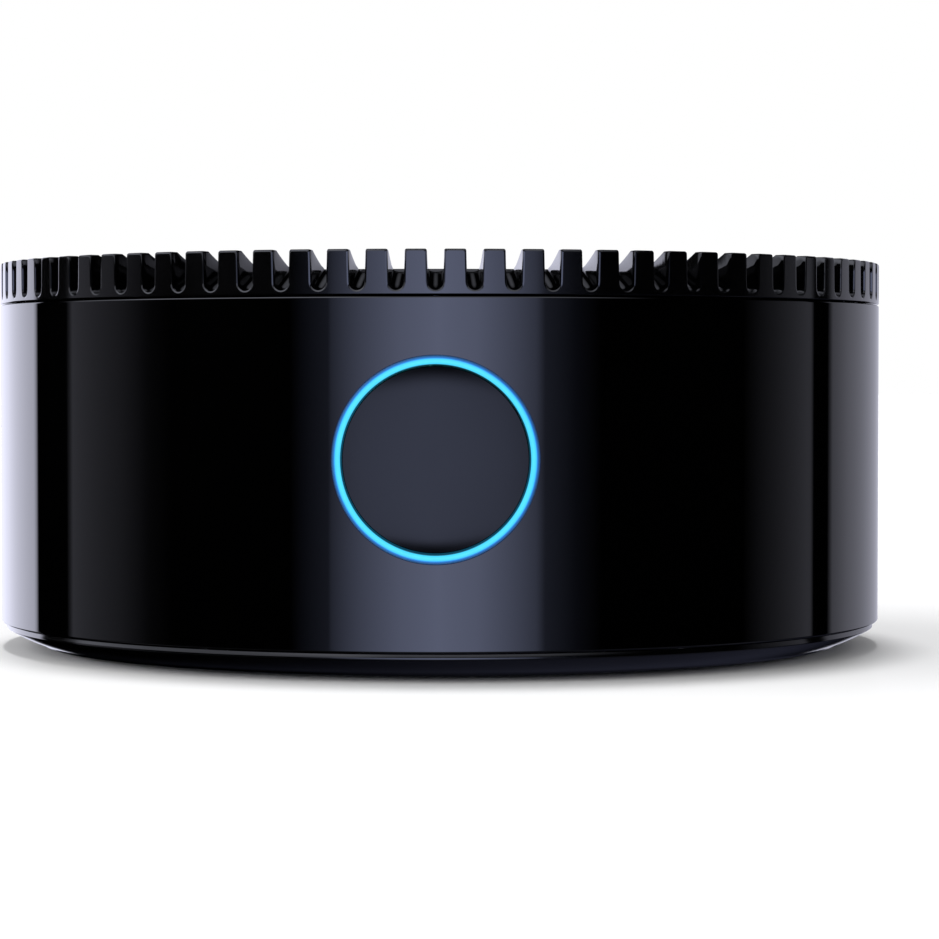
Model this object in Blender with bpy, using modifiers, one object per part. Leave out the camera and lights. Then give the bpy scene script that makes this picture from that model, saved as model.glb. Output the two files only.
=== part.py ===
"""Streaming media player: a short drum with a finned crown, a front button in a light ring,
and a socket panel at the back. Metres, +Z up, front towards -Y, origin under the centre of the base."""

import math

import bmesh
import bpy
from mathutils import Matrix, Vector

MM = 0.001
GAP = 0.3 * MM                     # clearance between pieces that touch
JOINT_LINE = 0.15 * MM             # narrower clearance seen on the outside of the drum

# Driving dimensions of the drum
OUTER_R = 55.0 * MM
WALL = 2.0 * MM
WALL_EDGE = 0.25 * MM
BASE_TOP = 3.1 * MM
WALL_BOTTOM = BASE_TOP + JOINT_LINE
WALL_TOP = 42.28 * MM
ROUND_SEGMENTS = 72

# Crown
TEETH = 80
CROWN_BOTTOM = WALL_TOP + JOINT_LINE
CROWN_TOP = 47.4 * MM
NOTCH_BOTTOM = 42.95 * MM
LID_LEVEL = 45.4 * MM
NOTCH_INNER_R = 49.2 * MM
NOTCH_TOP_HALF = 0.94 * MM
NOTCH_LOW_HALF = 0.86 * MM
NOTCH_LEVEL_R = 53.6 * MM           # inside this radius a notch's floor runs up to the lid
FIN_CREST = 1.3 * MM
CROWN_INNER_R = 45.0 * MM
LID_SEAT = CROWN_BOTTOM + 0.75 * MM
LID_LOW = LID_SEAT + GAP

# Ledge inside the top of the wall, and the posts that hang from it
LEDGE_BOTTOM = 40.4 * MM
LEDGE_TOP = 42.1 * MM
LEDGE_INNER_R = 41.0 * MM
POST_RING_R = 44.0 * MM
POST_R = 3.0 * MM
POST_BOTTOM = 5.0 * MM
POST_ANGLES = (25, 155, 215, 325)
CROWN_SCREW_ANGLES = (0, 90, 180, 270)
CROWN_SCREW_RING_R = 47.2 * MM

# Front button and light ring, all on one axis along Y
BUTTON_Z = 24.4 * MM
HOLE_R = 11.47 * MM
RING_OUTER_R = 11.35 * MM
RING_INNER_R = 10.42 * MM
BUTTON_R = 10.25 * MM
BUTTON_FACE = 53.9 * MM            # distance of the button's rim in front of the drum's axis
DISH_DEPTH = 0.55 * MM
DISH_CURVE = 2.6                   # the dish steepens towards the rim
SKIRT_TOP = BUTTON_FACE - 2.0 * MM
SKIRT_BOTTOM = SKIRT_TOP - 3.0 * MM
POST_END = 50.95 * MM              # end of the button's switch post, from the drum's axis
LIGHT_BOARD_FRONT = 46.0 * MM
LIGHT_BOARD_THICK = 1.2 * MM
LED_COUNT = 6
LED_RING_R = 10.9 * MM
EAR_X = 17.5 * MM

# Socket panel
PANEL_HALF_W = 31.8 * MM
PANEL_FACE_Y = 41.5 * MM
PANEL_THICK = 1.5 * MM
ALCOVE_LOW = 8.0 * MM
ALCOVE_HIGH = 27.0 * MM
SOCKET_MOUTH_Y = 41.3 * MM

# Sockets, in millimetres: low x, high x, height above the board
HDMI_CUT = (-15.4, -0.4, 6.0)
ETHERNET_CUT = (0.6, 16.6, 13.4)
USB_CUT = (17.6, 30.8, 7.0)
JACK_CUT = (-30.8, -21.8, 11.0)
SOCKET_CUTS = (HDMI_CUT, ETHERNET_CUT, USB_CUT)
RESET_X = -18.6 * MM
RESET_Z = 13.4 * MM

# Mainboard
BOARD_R = 50.0 * MM
BOARD_TOP = 10.6 * MM
BOARD_THICK = 1.6 * MM
BOARD_REAR_Y = 39.5 * MM
PART_FLOOR = BOARD_TOP + GAP       # underside of everything that stands on the mainboard
STANDOFFS = ((26.2, 18.4), (-26.2, 18.4), (-22.6, -22.6), (22.6, -22.6))

# Base
BASE_PLATE_LOW = 0.4 * MM
BASE_PLATE_TOP = 2.8 * MM
FOOT_INNER_R = 41.0 * MM
FOOT_OUTER_R = 47.0 * MM
FOOT_THICK = 1.0 * MM

for old in list(bpy.data.objects):
    bpy.data.objects.remove(old, do_unlink=True)

parts = bpy.data.collections.new("streaming_media_player")
cutters = bpy.data.collections.new("cutters")
bpy.context.scene.collection.children.link(parts)
bpy.context.scene.collection.children.link(cutters)


def material(name, colour, roughness, metallic=0.0):
    """A Principled material of one colour."""
    made = bpy.data.materials.new(name)
    made.use_nodes = True
    shader = made.node_tree.nodes["Principled BSDF"]
    shader.inputs["Base Color"].default_value = (*colour, 1.0)
    shader.inputs["Roughness"].default_value = roughness
    shader.inputs["Metallic"].default_value = metallic
    made.diffuse_color = (*colour, 1.0)
    return made


def new_object(name, mesh, collection=parts):
    made = bpy.data.objects.new(name, mesh)
    collection.objects.link(made)
    if collection is cutters:
        made.hide_render = True
        made.display_type = "WIRE"
    return made


def finish(part, colour, roughness, metallic=0.0):
    """Give the part its own material and smooth shading on its round faces."""
    part.data.materials.append(material(part.name, colour, roughness, metallic))
    part.data.shade_smooth()
    part.data.set_sharp_from_angle(angle=math.radians(35))
    return part


def box(name, low, high, collection=parts):
    """A box between two corners, with its origin at its centre."""
    low, high = Vector(low), Vector(high)
    mesh = bpy.data.meshes.new(name)
    cage = bmesh.new()
    bmesh.ops.create_cube(cage, size=1.0)
    bmesh.ops.scale(cage, vec=high - low, verts=cage.verts)
    cage.to_mesh(mesh)
    cage.free()
    made = new_object(name, mesh, collection)
    made.location = (low + high) / 2
    return made


def rod(name, start, end, radius, segments=24, collection=parts):
    """A cylinder from one point to another."""
    start, end = Vector(start), Vector(end)
    mesh = bpy.data.meshes.new(name)
    cage = bmesh.new()
    bmesh.ops.create_cone(cage, cap_ends=True, segments=segments, radius1=radius, radius2=radius,
                          depth=(end - start).length)
    cage.to_mesh(mesh)
    cage.free()
    made = new_object(name, mesh, collection)
    made.location = (start + end) / 2
    made.rotation_euler = (end - start).to_track_quat("Z", "Y").to_euler()
    return made


def turned(name, profile, segments=ROUND_SEGMENTS, closed=True, collection=parts):
    """A solid turned about its own Z axis: (radius, height) points, outer side first, top to bottom.
    An open profile starts and ends on the axis, and a closed one is a ring."""
    mesh = bpy.data.meshes.new(name)
    count = len(profile)
    edges = [(i, (i + 1) % count) for i in range(count if closed else count - 1)]
    mesh.from_pydata([(radius, 0.0, height) for radius, height in profile], edges, [])
    made = new_object(name, mesh, collection)
    screw = made.modifiers.new("turn", "SCREW")
    screw.steps = segments
    screw.render_steps = segments
    screw.use_merge_vertices = True
    screw.merge_threshold = 0.00001
    return made


def boolean(part, operation, *others):
    """Cut the others from the part, or join them to it, and remove them."""
    settle(part)
    for other in others:
        change = part.modifiers.new(operation.lower(), "BOOLEAN")
        change.operation = operation
        change.solver = "EXACT"
        change.object = other
        settle(part)
        bpy.data.objects.remove(other, do_unlink=True)


def settle(part):
    """Apply every modifier of the part."""
    graph = bpy.context.evaluated_depsgraph_get()
    graph.update()
    mesh = bpy.data.meshes.new_from_object(part.evaluated_get(graph))
    part.modifiers.clear()
    part.data = mesh


def bevel(part, width, segments=1):
    change = part.modifiers.new("bevel", "BEVEL")
    change.width = width
    change.segments = segments
    change.limit_method = "ANGLE"
    change.angle_limit = math.radians(40)
    return part


def outline(name, points, thickness):
    """A flat outline in its own XY plane, thick equally to both sides, as a mesh."""
    curve = bpy.data.curves.new(name, "CURVE")
    curve.dimensions = "2D"
    curve.fill_mode = "BOTH"
    curve.extrude = thickness / 2
    spline = curve.splines.new("POLY")
    spline.points.add(len(points) - 1)
    for point, (x, y) in zip(spline.points, points):
        point.co = (x, y, 0.0, 1.0)
    spline.use_cyclic_u = True
    return curve_to_mesh(name, new_object(name + "_curve", curve, cutters))


def wire(name, points, radius):
    """A round wire through smoothed route points, as a mesh."""
    curve = bpy.data.curves.new(name, "CURVE")
    curve.dimensions = "3D"
    curve.bevel_depth = radius
    curve.bevel_resolution = 2
    curve.use_fill_caps = True
    spline = curve.splines.new("POLY")
    spline.points.add(len(points) - 1)
    for point, place in zip(spline.points, points):
        point.co = (*place, 1.0)
    return curve_to_mesh(name, new_object(name + "_curve", curve, cutters))


def curve_to_mesh(name, guide):
    graph = bpy.context.evaluated_depsgraph_get()
    graph.update()
    mesh = bpy.data.meshes.new_from_object(guide.evaluated_get(graph))
    cage = bmesh.new()
    cage.from_mesh(mesh)
    bmesh.ops.remove_doubles(cage, verts=cage.verts, dist=0.000002)
    bmesh.ops.recalc_face_normals(cage, faces=cage.faces)
    cage.to_mesh(mesh)
    cage.free()
    made = new_object(name, mesh)
    made.matrix_world = guide.matrix_world
    bpy.data.objects.remove(guide, do_unlink=True)
    return made


def polar(radius, degrees, height=0.0):
    angle = math.radians(degrees)
    return Vector((radius * math.cos(angle), radius * math.sin(angle), height))


def smooth_route(points, steps):
    """Points on a Catmull-Rom curve through the given points."""
    ends = [2 * points[0] - points[1], *points, 2 * points[-1] - points[-2]]
    route = []
    for i in range(1, len(ends) - 2):
        before, start, end, after = ends[i - 1:i + 3]
        for step in range(steps):
            t = step / steps
            route.append(0.5 * (2 * start + (end - before) * t
                                + (2 * before - 5 * start + 4 * end - after) * t ** 2
                                + (3 * start - before - 3 * end + after) * t ** 3))
    route.append(points[-1])
    return route


GLOSS_BLACK = (0.006, 0.006, 0.008)
MATT_BLACK = (0.02, 0.02, 0.022)
BOARD_GREEN = (0.01, 0.09, 0.05)
STEEL = (0.6, 0.6, 0.62)
CHIP = (0.025, 0.025, 0.027)


def make_body_shell():
    """The cylindrical wall, with a ledge at the top, four posts and two screw bosses."""
    inner_r = OUTER_R - WALL
    edge = WALL_EDGE
    profile = [(OUTER_R, WALL_TOP), (OUTER_R, WALL_BOTTOM + edge)]
    for degrees in (45, 90):
        angle = math.radians(degrees)
        profile.append((OUTER_R - edge + edge * math.cos(angle), WALL_BOTTOM + edge - edge * math.sin(angle)))
    profile += [(inner_r, WALL_BOTTOM), (inner_r, LEDGE_BOTTOM), (LEDGE_INNER_R, LEDGE_BOTTOM),
                (LEDGE_INNER_R, LEDGE_TOP), (inner_r, LEDGE_TOP), (inner_r, WALL_TOP)]
    shell = turned("body_shell", profile)
    posts = [rod("post", polar(POST_RING_R, a, POST_BOTTOM), polar(POST_RING_R, a, LEDGE_BOTTOM + MM), POST_R,
                 16, cutters) for a in POST_ANGLES]
    bosses = [rod("boss", (x, -51.0 * MM, BUTTON_Z), (x, -LIGHT_BOARD_FRONT - GAP, BUTTON_Z), 2.2 * MM,
                  16, cutters) for x in (-EAR_X, EAR_X)]
    boolean(shell, "UNION", *posts, *bosses)
    pilots = [rod("pilot", polar(POST_RING_R, a, POST_BOTTOM - MM), polar(POST_RING_R, a, 16 * MM), 1.1 * MM,
                  10, cutters) for a in POST_ANGLES]
    pilots += [rod("pilot", (x, -49.6 * MM, BUTTON_Z), (x, -LIGHT_BOARD_FRONT + MM, BUTTON_Z), 0.8 * MM,
                   10, cutters) for x in (-EAR_X, EAR_X)]
    pilots += [rod("screw_way", polar(CROWN_SCREW_RING_R, a, LEDGE_BOTTOM - MM),
                   polar(CROWN_SCREW_RING_R, a, LEDGE_TOP + MM), 1.2 * MM, 12, cutters)
               for a in CROWN_SCREW_ANGLES]
    front_hole = rod("front_hole", (0, -60 * MM, BUTTON_Z), (0, -48 * MM, BUTTON_Z), HOLE_R, 48, cutters)
    window = box("window", (-PANEL_HALF_W - 1.7 * MM, 38 * MM, ALCOVE_LOW - 1.8 * MM),
                 (PANEL_HALF_W + 1.7 * MM, 60 * MM, ALCOVE_HIGH + 1.8 * MM), cutters)
    boolean(shell, "DIFFERENCE", front_hole, window, *pilots)
    finish(shell, GLOSS_BLACK, 0.06)


def notch_cutter():
    """All the radial U-shaped notches as one mesh. Each runs out past the rim, and its floor rises inwards."""
    top = CROWN_TOP + 2 * MM
    flare = (NOTCH_TOP_HALF - NOTCH_LOW_HALF) / (CROWN_TOP - LID_LEVEL)
    bowl = [(NOTCH_LOW_HALF * math.cos(math.radians(a)), NOTCH_LOW_HALF * (1 - math.sin(math.radians(a))))
            for a in (0, 45, 90)]
    run_out = LID_LEVEL - 0.3 * MM - NOTCH_BOTTOM
    stations = ((NOTCH_INNER_R + 0.1 * MM, run_out), (NOTCH_LEVEL_R, 0.0), (OUTER_R + 2 * MM, 0.0))
    cage = bmesh.new()
    for tooth in range(TEETH):
        turn = Matrix.Rotation(-math.pi / 2 + tooth * 2 * math.pi / TEETH, 3, "Z")
        loops = []
        for radius, lift in stations:
            side = [(NOTCH_TOP_HALF + flare * (top - CROWN_TOP), top)]
            side += [(x, NOTCH_BOTTOM + lift + z) for x, z in bowl]
            section = side + [(-x, z) for x, z in reversed(side[:-1])]
            loops.append([cage.verts.new(turn @ Vector((radius, x, z))) for x, z in section])
        for inner, outer in zip(loops, loops[1:]):
            for i in range(len(inner)):
                after = (i + 1) % len(inner)
                cage.faces.new((inner[i], inner[after], outer[after], outer[i]))
        cage.faces.new(loops[0][::-1])
        cage.faces.new(loops[-1])
    bmesh.ops.recalc_face_normals(cage, faces=cage.faces)
    mesh = bpy.data.meshes.new("notches")
    cage.to_mesh(mesh)
    cage.free()
    return new_object("notches", mesh, cutters)


def make_crown():
    """The finned ring. Its fins stand on a rim whose inner step carries the lid."""
    crown = turned("crown_ring", [
        (OUTER_R - FIN_CREST, CROWN_TOP), (OUTER_R, CROWN_TOP), (OUTER_R, CROWN_BOTTOM),
        (CROWN_INNER_R - 1.8 * MM, CROWN_BOTTOM), (CROWN_INNER_R - 1.8 * MM, LID_SEAT), (CROWN_INNER_R, LID_SEAT),
        (CROWN_INNER_R, LID_LEVEL), (NOTCH_INNER_R, LID_LEVEL)], TEETH)
    pilots = [rod("pilot", polar(CROWN_SCREW_RING_R, a, CROWN_BOTTOM - MM),
                  polar(CROWN_SCREW_RING_R, a, LID_LEVEL - 0.6 * MM), 0.9 * MM, 8, cutters)
              for a in CROWN_SCREW_ANGLES]
    boolean(crown, "DIFFERENCE", *pilots, notch_cutter())
    finish(crown, GLOSS_BLACK, 0.12, 0.2)


def make_lid():
    radius = CROWN_INNER_R - GAP
    lid = turned("top_lid", [(0, LID_LEVEL), (radius - 0.4 * MM, LID_LEVEL), (radius, LID_LEVEL - 0.4 * MM),
                             (radius, LID_LOW), (0, LID_LOW)], 48, closed=False)
    settle(lid)
    finish(lid, GLOSS_BLACK, 0.2)


def make_base():
    """The bottom pan: a tapered rim, a groove for the foot, screw bosses and board standoffs."""
    groove = 1.3 * MM
    base = turned("base_tray", [
        (0, BASE_PLATE_TOP), (51.0 * MM, BASE_PLATE_TOP), (51.2 * MM, BASE_TOP), (53.93 * MM, BASE_TOP),
        (54.23 * MM, 2.97 * MM), (54.35 * MM, 2.68 * MM), (54.35 * MM, 2.56 * MM), (50.3 * MM, 0.6 * MM),
        (50.0 * MM, BASE_PLATE_LOW),
        (FOOT_OUTER_R + GAP, BASE_PLATE_LOW), (FOOT_OUTER_R + GAP, groove), (FOOT_INNER_R - GAP, groove),
        (FOOT_INNER_R - GAP, BASE_PLATE_LOW), (0, BASE_PLATE_LOW)], closed=False)
    joined = [rod("boss", polar(POST_RING_R, a, 2 * MM), polar(POST_RING_R, a, POST_BOTTOM - GAP), 4.2 * MM,
                  20, cutters) for a in POST_ANGLES]
    joined += [rod("standoff", (x * MM, y * MM, 2 * MM), (x * MM, y * MM, BOARD_TOP - BOARD_THICK - GAP),
                   2.6 * MM, 14, cutters) for x, y in STANDOFFS]
    boolean(base, "UNION", *joined)
    holes = [rod("sink", polar(POST_RING_R, a, 0), polar(POST_RING_R, a, 3.2 * MM), 2.9 * MM, 16, cutters)
             for a in POST_ANGLES]
    holes += [rod("way", polar(POST_RING_R, a, 0), polar(POST_RING_R, a, 6 * MM), 1.4 * MM, 12, cutters)
              for a in POST_ANGLES]
    holes += [rod("pilot", (x * MM, y * MM, 4 * MM), (x * MM, y * MM, 10 * MM), 0.9 * MM, 10, cutters)
              for x, y in STANDOFFS]
    boolean(base, "DIFFERENCE", *holes)
    finish(base, GLOSS_BLACK, 0.1)


def make_foot():
    foot = turned("foot_ring", [(FOOT_OUTER_R, FOOT_THICK), (FOOT_OUTER_R, 0.15 * MM),
                                (FOOT_OUTER_R - 0.15 * MM, 0), (FOOT_INNER_R + 0.15 * MM, 0),
                                (FOOT_INNER_R, 0.15 * MM), (FOOT_INNER_R, FOOT_THICK)], 48)
    settle(foot)
    finish(foot, MATT_BLACK, 0.85)


def screw(name, seat, direction, head_r, head_h, shank_r, shank_len):
    """A pan head screw. seat is the point under the head, direction is the way the shank goes."""
    direction = Vector(direction).normalized()
    part = turned(name, [(0, shank_len), (shank_r, shank_len), (shank_r, 0), (head_r, 0),
                         (head_r, -head_h + 0.2 * MM), (head_r - 0.3 * MM, -head_h), (0, -head_h)], 12,
                  closed=False)
    part.location = seat
    part.rotation_euler = direction.to_track_quat("Z", "Y").to_euler()
    half = Vector((0.8, 0.8, 0.55)) * MM
    drive = box("drive", -half, half, cutters)
    drive.rotation_euler = part.rotation_euler
    drive.location = Vector(seat) - direction * (head_h + 0.1 * MM)
    boolean(part, "DIFFERENCE", drive)
    return finish(part, STEEL, 0.35, 1.0)


def make_screws():
    for i, angle in enumerate(POST_ANGLES, 1):
        screw(f"base_screw_{i}", polar(POST_RING_R, angle, 3.5 * MM - GAP), (0, 0, 1), 2.5 * MM, 1.4 * MM,
              0.9 * MM, 10 * MM)
    for i, angle in enumerate(CROWN_SCREW_ANGLES, 1):
        screw(f"crown_screw_{i}", polar(CROWN_SCREW_RING_R, angle, LEDGE_BOTTOM - GAP), (0, 0, 1), 2.0 * MM,
              1.3 * MM, 0.7 * MM, 4.2 * MM)
    for i, (x, y) in enumerate(STANDOFFS, 1):
        screw(f"board_screw_{i}", (x * MM, y * MM, BOARD_TOP + GAP), (0, 0, -1), 2.2 * MM, 1.4 * MM,
              0.7 * MM, 6 * MM)
    for i, x in enumerate((-EAR_X, EAR_X), 1):
        seat = (x, -LIGHT_BOARD_FRONT + LIGHT_BOARD_THICK + GAP, BUTTON_Z)
        screw(f"light_board_screw_{i}", seat, (0, -1, 0), 1.7 * MM, 1.1 * MM, 0.55 * MM, 4.2 * MM)


def on_button_axis(part):
    """Stand a piece turned about Z on the button's axis: its +Z points out of the front."""
    part.rotation_euler = (math.pi / 2, 0, 0)
    part.location = (0, 0, BUTTON_Z)
    return part


def make_button():
    """A cap with a shallow dished face, a skirt with a retaining bead, and a post for the switch."""
    rim = 0.1 * MM
    dish = [((BUTTON_R - rim) * k, BUTTON_FACE - DISH_DEPTH * (1 - k ** DISH_CURVE)) for k in (0, 0.5, 0.8, 1)]
    bead_top = SKIRT_BOTTOM + 0.6 * MM
    button = turned("power_button", dish + [
        (BUTTON_R, BUTTON_FACE - rim), (BUTTON_R, SKIRT_TOP), (8.75 * MM, SKIRT_TOP),
        (8.75 * MM, bead_top + 0.2 * MM), (9.3 * MM, bead_top), (9.3 * MM, SKIRT_BOTTOM), (7.8 * MM, SKIRT_BOTTOM),
        (7.8 * MM, SKIRT_TOP), (1.6 * MM, SKIRT_TOP), (1.6 * MM, POST_END), (0, POST_END)], 40, closed=False)
    on_button_axis(button)
    settle(button)
    finish(button, (0.03, 0.03, 0.036), 0.3)

    ring = turned("light_ring", [
        (RING_OUTER_R, 56 * MM), (RING_OUTER_R, 51.1 * MM), (12.7 * MM, 51.1 * MM), (12.7 * MM, 50.1 * MM),
        (RING_OUTER_R, 50.1 * MM), (RING_OUTER_R, 47.1 * MM), (RING_INNER_R, 47.1 * MM),
        (RING_INNER_R, 56 * MM)], 48)
    on_button_axis(ring)
    trim = rod("trim", (0, 0, 0), (0, 0, 50 * MM), OUTER_R - 0.02 * MM, ROUND_SEGMENTS, cutters)
    boolean(ring, "INTERSECT", trim)
    finish(ring, (0.1, 0.75, 1.0), 0.3)

    sleeve = turned("button_sleeve", [
        (10.1 * MM, 51.2 * MM), (10.1 * MM, 46.3 * MM), (9.6 * MM, 46.3 * MM), (9.6 * MM, 50.4 * MM),
        (8.95 * MM, 50.4 * MM), (8.95 * MM, 51.2 * MM)], 32)
    settle(on_button_axis(sleeve))
    finish(sleeve, (0.7, 0.7, 0.7), 0.5)

    carrier = turned("light_carrier", [
        (12.9 * MM, 49.8 * MM), (12.9 * MM, 46.3 * MM), (11.8 * MM, 46.3 * MM), (11.8 * MM, 49.8 * MM)], 32)
    settle(on_button_axis(carrier))
    finish(carrier, (0.8, 0.8, 0.8), 0.5)


def make_light_board():
    """Round board behind the ring, with two screw ears, the LEDs, the switch and the cable socket."""
    front = -LIGHT_BOARD_FRONT
    back = front + LIGHT_BOARD_THICK
    board = rod("led_board", (0, back, BUTTON_Z), (0, front, BUTTON_Z), 13.2 * MM, 48)
    ears = box("ears", (-20 * MM, front, BUTTON_Z - 2.6 * MM), (20 * MM, back, BUTTON_Z + 2.6 * MM), cutters)
    boolean(board, "UNION", ears)
    holes = [rod("way", (x, front - MM, BUTTON_Z), (x, back + MM, BUTTON_Z), 0.9 * MM, 12, cutters)
             for x in (-EAR_X, EAR_X)]
    boolean(board, "DIFFERENCE", *holes)
    finish(board, BOARD_GREEN, 0.4)

    for i in range(LED_COUNT):
        angle = math.radians(30 + 360 / LED_COUNT * i)
        led = box(f"led_{i + 1}", (-0.8 * MM, -0.3 * MM, -0.42 * MM), (0.8 * MM, 0.3 * MM, 0.42 * MM))
        led.rotation_euler = (0, -angle + math.pi / 2, 0)
        led.location = (LED_RING_R * math.cos(angle), front - 0.42 * MM, BUTTON_Z + LED_RING_R * math.sin(angle))
        finish(bevel(led, 0.1 * MM), (0.9, 0.9, 0.8), 0.3)

    switch_front = front - 3.6 * MM
    half = 3 * MM
    switch = box("button_switch", (-half, switch_front, BUTTON_Z - half), (half, front - GAP, BUTTON_Z + half))
    socket = rod("socket", (0, switch_front - MM, BUTTON_Z), (0, switch_front + 2.3 * MM, BUTTON_Z), 1.95 * MM,
                 20, cutters)
    boolean(switch, "DIFFERENCE", socket)
    finish(switch, CHIP, 0.4)
    plunger = rod("switch_plunger", (0, -50.65 * MM, BUTTON_Z), (0, switch_front + 1.5 * MM, BUTTON_Z), 1.7 * MM, 20)
    finish(bevel(plunger, 0.15 * MM), (0.5, 0.1, 0.08), 0.5)


def make_rear_panel():
    """A recessed alcove: flat socket plate, roof, floor and sides, trimmed to the drum's outer face."""
    thick = PANEL_THICK
    panel = box("rear_panel", (-PANEL_HALF_W - 1.4 * MM, PANEL_FACE_Y - thick, ALCOVE_LOW - thick),
                (PANEL_HALF_W + 1.4 * MM, 60 * MM, ALCOVE_HIGH + thick))
    alcove = box("alcove", (-PANEL_HALF_W, PANEL_FACE_Y, ALCOVE_LOW), (PANEL_HALF_W, 62 * MM, ALCOVE_HIGH),
                 cutters)
    holes = [alcove]
    for low_x, high_x, height in (*SOCKET_CUTS, JACK_CUT):
        holes.append(box("cut", (low_x * MM - GAP, 38 * MM, PART_FLOOR - GAP),
                         (high_x * MM + GAP, 44 * MM, PART_FLOOR + height * MM + GAP), cutters))
    holes.append(rod("reset_way", (RESET_X, 38 * MM, RESET_Z), (RESET_X, 44 * MM, RESET_Z), 1.6 * MM, 16, cutters))
    boolean(panel, "DIFFERENCE", *holes)
    trim = rod("trim", (0, 0, 0), (0, 0, 40 * MM), OUTER_R - 0.15 * MM, ROUND_SEGMENTS, cutters)
    boolean(panel, "INTERSECT", trim)
    finish(panel, MATT_BLACK, 0.45)


def socket_box(name, cut, depth):
    low_x, high_x, height = cut
    return box(name, (low_x * MM, SOCKET_MOUTH_Y - depth, PART_FLOOR),
               (high_x * MM, SOCKET_MOUTH_Y, PART_FLOOR + height * MM))


def tongue_socket(name, cut, depth, cavity_w, cavity_h, cavity_d, tongue_h, tongue_z):
    """A metal shell with a contact tongue standing in its cavity."""
    low_x, high_x, height = cut
    middle_x = (low_x + high_x) / 2 * MM
    middle_z = PART_FLOOR + height * MM / 2
    part = socket_box(name, cut, depth)
    floor_y = SOCKET_MOUTH_Y - cavity_d
    cavity = box("cavity", (middle_x - cavity_w / 2, floor_y, middle_z - cavity_h / 2),
                 (middle_x + cavity_w / 2, SOCKET_MOUTH_Y + MM, middle_z + cavity_h / 2), cutters)
    boolean(part, "DIFFERENCE", cavity)
    tongue = box("tongue", (middle_x - cavity_w / 2 + 1.2 * MM, floor_y - MM, middle_z + tongue_z - tongue_h / 2),
                 (middle_x + cavity_w / 2 - 1.2 * MM, SOCKET_MOUTH_Y - 1.0 * MM, middle_z + tongue_z + tongue_h / 2),
                 cutters)
    boolean(part, "UNION", tongue)
    return part


def make_sockets():
    finish(tongue_socket("hdmi_port", HDMI_CUT, 11.5 * MM, 14.0 * MM, 4.6 * MM, 8 * MM, 0.9 * MM, 0.3 * MM),
           STEEL, 0.3, 1.0)
    finish(tongue_socket("usb_port", USB_CUT, 14 * MM, 12.4 * MM, 5.4 * MM, 10 * MM, 1.8 * MM, 0.9 * MM),
           STEEL, 0.3, 1.0)
    ethernet = socket_box("ethernet_port", ETHERNET_CUT, 20 * MM)
    middle_x = (ETHERNET_CUT[0] + ETHERNET_CUT[1]) / 2 * MM
    opening = box("opening", (middle_x - 5.9 * MM, SOCKET_MOUTH_Y - 14 * MM, 14.3 * MM),
                  (middle_x + 5.9 * MM, SOCKET_MOUTH_Y + MM, 22.3 * MM), cutters)
    latch = box("latch", (middle_x - 2 * MM, SOCKET_MOUTH_Y - 9 * MM, 12.3 * MM),
                (middle_x + 2 * MM, SOCKET_MOUTH_Y + MM, 15 * MM), cutters)
    boolean(ethernet, "DIFFERENCE", opening, latch)
    finish(ethernet, STEEL, 0.35, 1.0)

    jack = socket_box("power_jack", JACK_CUT, 14 * MM)
    jack_x = (JACK_CUT[0] + JACK_CUT[1]) / 2 * MM
    jack_z = PART_FLOOR + JACK_CUT[2] * MM / 2
    bore = rod("bore", (jack_x, SOCKET_MOUTH_Y - 9.5 * MM, jack_z), (jack_x, SOCKET_MOUTH_Y + MM, jack_z),
               3.1 * MM, 24, cutters)
    boolean(jack, "DIFFERENCE", bore)
    pin = rod("pin", (jack_x, SOCKET_MOUTH_Y - 11 * MM, jack_z), (jack_x, SOCKET_MOUTH_Y - MM, jack_z),
              1.05 * MM, 12, cutters)
    boolean(jack, "UNION", pin)
    finish(jack, CHIP, 0.5)


def make_reset():
    front = 36.4 * MM
    switch = box("reset_switch", (RESET_X - 2.1 * MM, 32.6 * MM, PART_FLOOR),
                 (RESET_X + 2.1 * MM, front, PART_FLOOR + 4.4 * MM))
    way = rod("way", (RESET_X, front - 1.6 * MM, RESET_Z), (RESET_X, front + MM, RESET_Z), 1.15 * MM, 16, cutters)
    boolean(switch, "DIFFERENCE", way)
    finish(switch, CHIP, 0.4)
    plunger = rod("reset_plunger", (RESET_X, front - 0.9 * MM, RESET_Z), (RESET_X, 37.2 * MM, RESET_Z), 0.9 * MM, 16)
    finish(plunger, (0.75, 0.75, 0.75), 0.5)
    cap = turned("reset_button", [(0, 41.8 * MM), (1.2 * MM, 41.8 * MM), (1.35 * MM, 41.65 * MM),
                                  (1.35 * MM, 39.6 * MM), (2.1 * MM, 39.6 * MM), (2.1 * MM, 38.6 * MM),
                                  (0.8 * MM, 38.6 * MM), (0.8 * MM, 37.5 * MM), (0, 37.5 * MM)], 20, closed=False)
    cap.rotation_euler = (-math.pi / 2, 0, 0)
    cap.location = (RESET_X, 0, RESET_Z)
    settle(cap)
    finish(cap, (0.3, 0.3, 0.32), 0.5)


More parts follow.
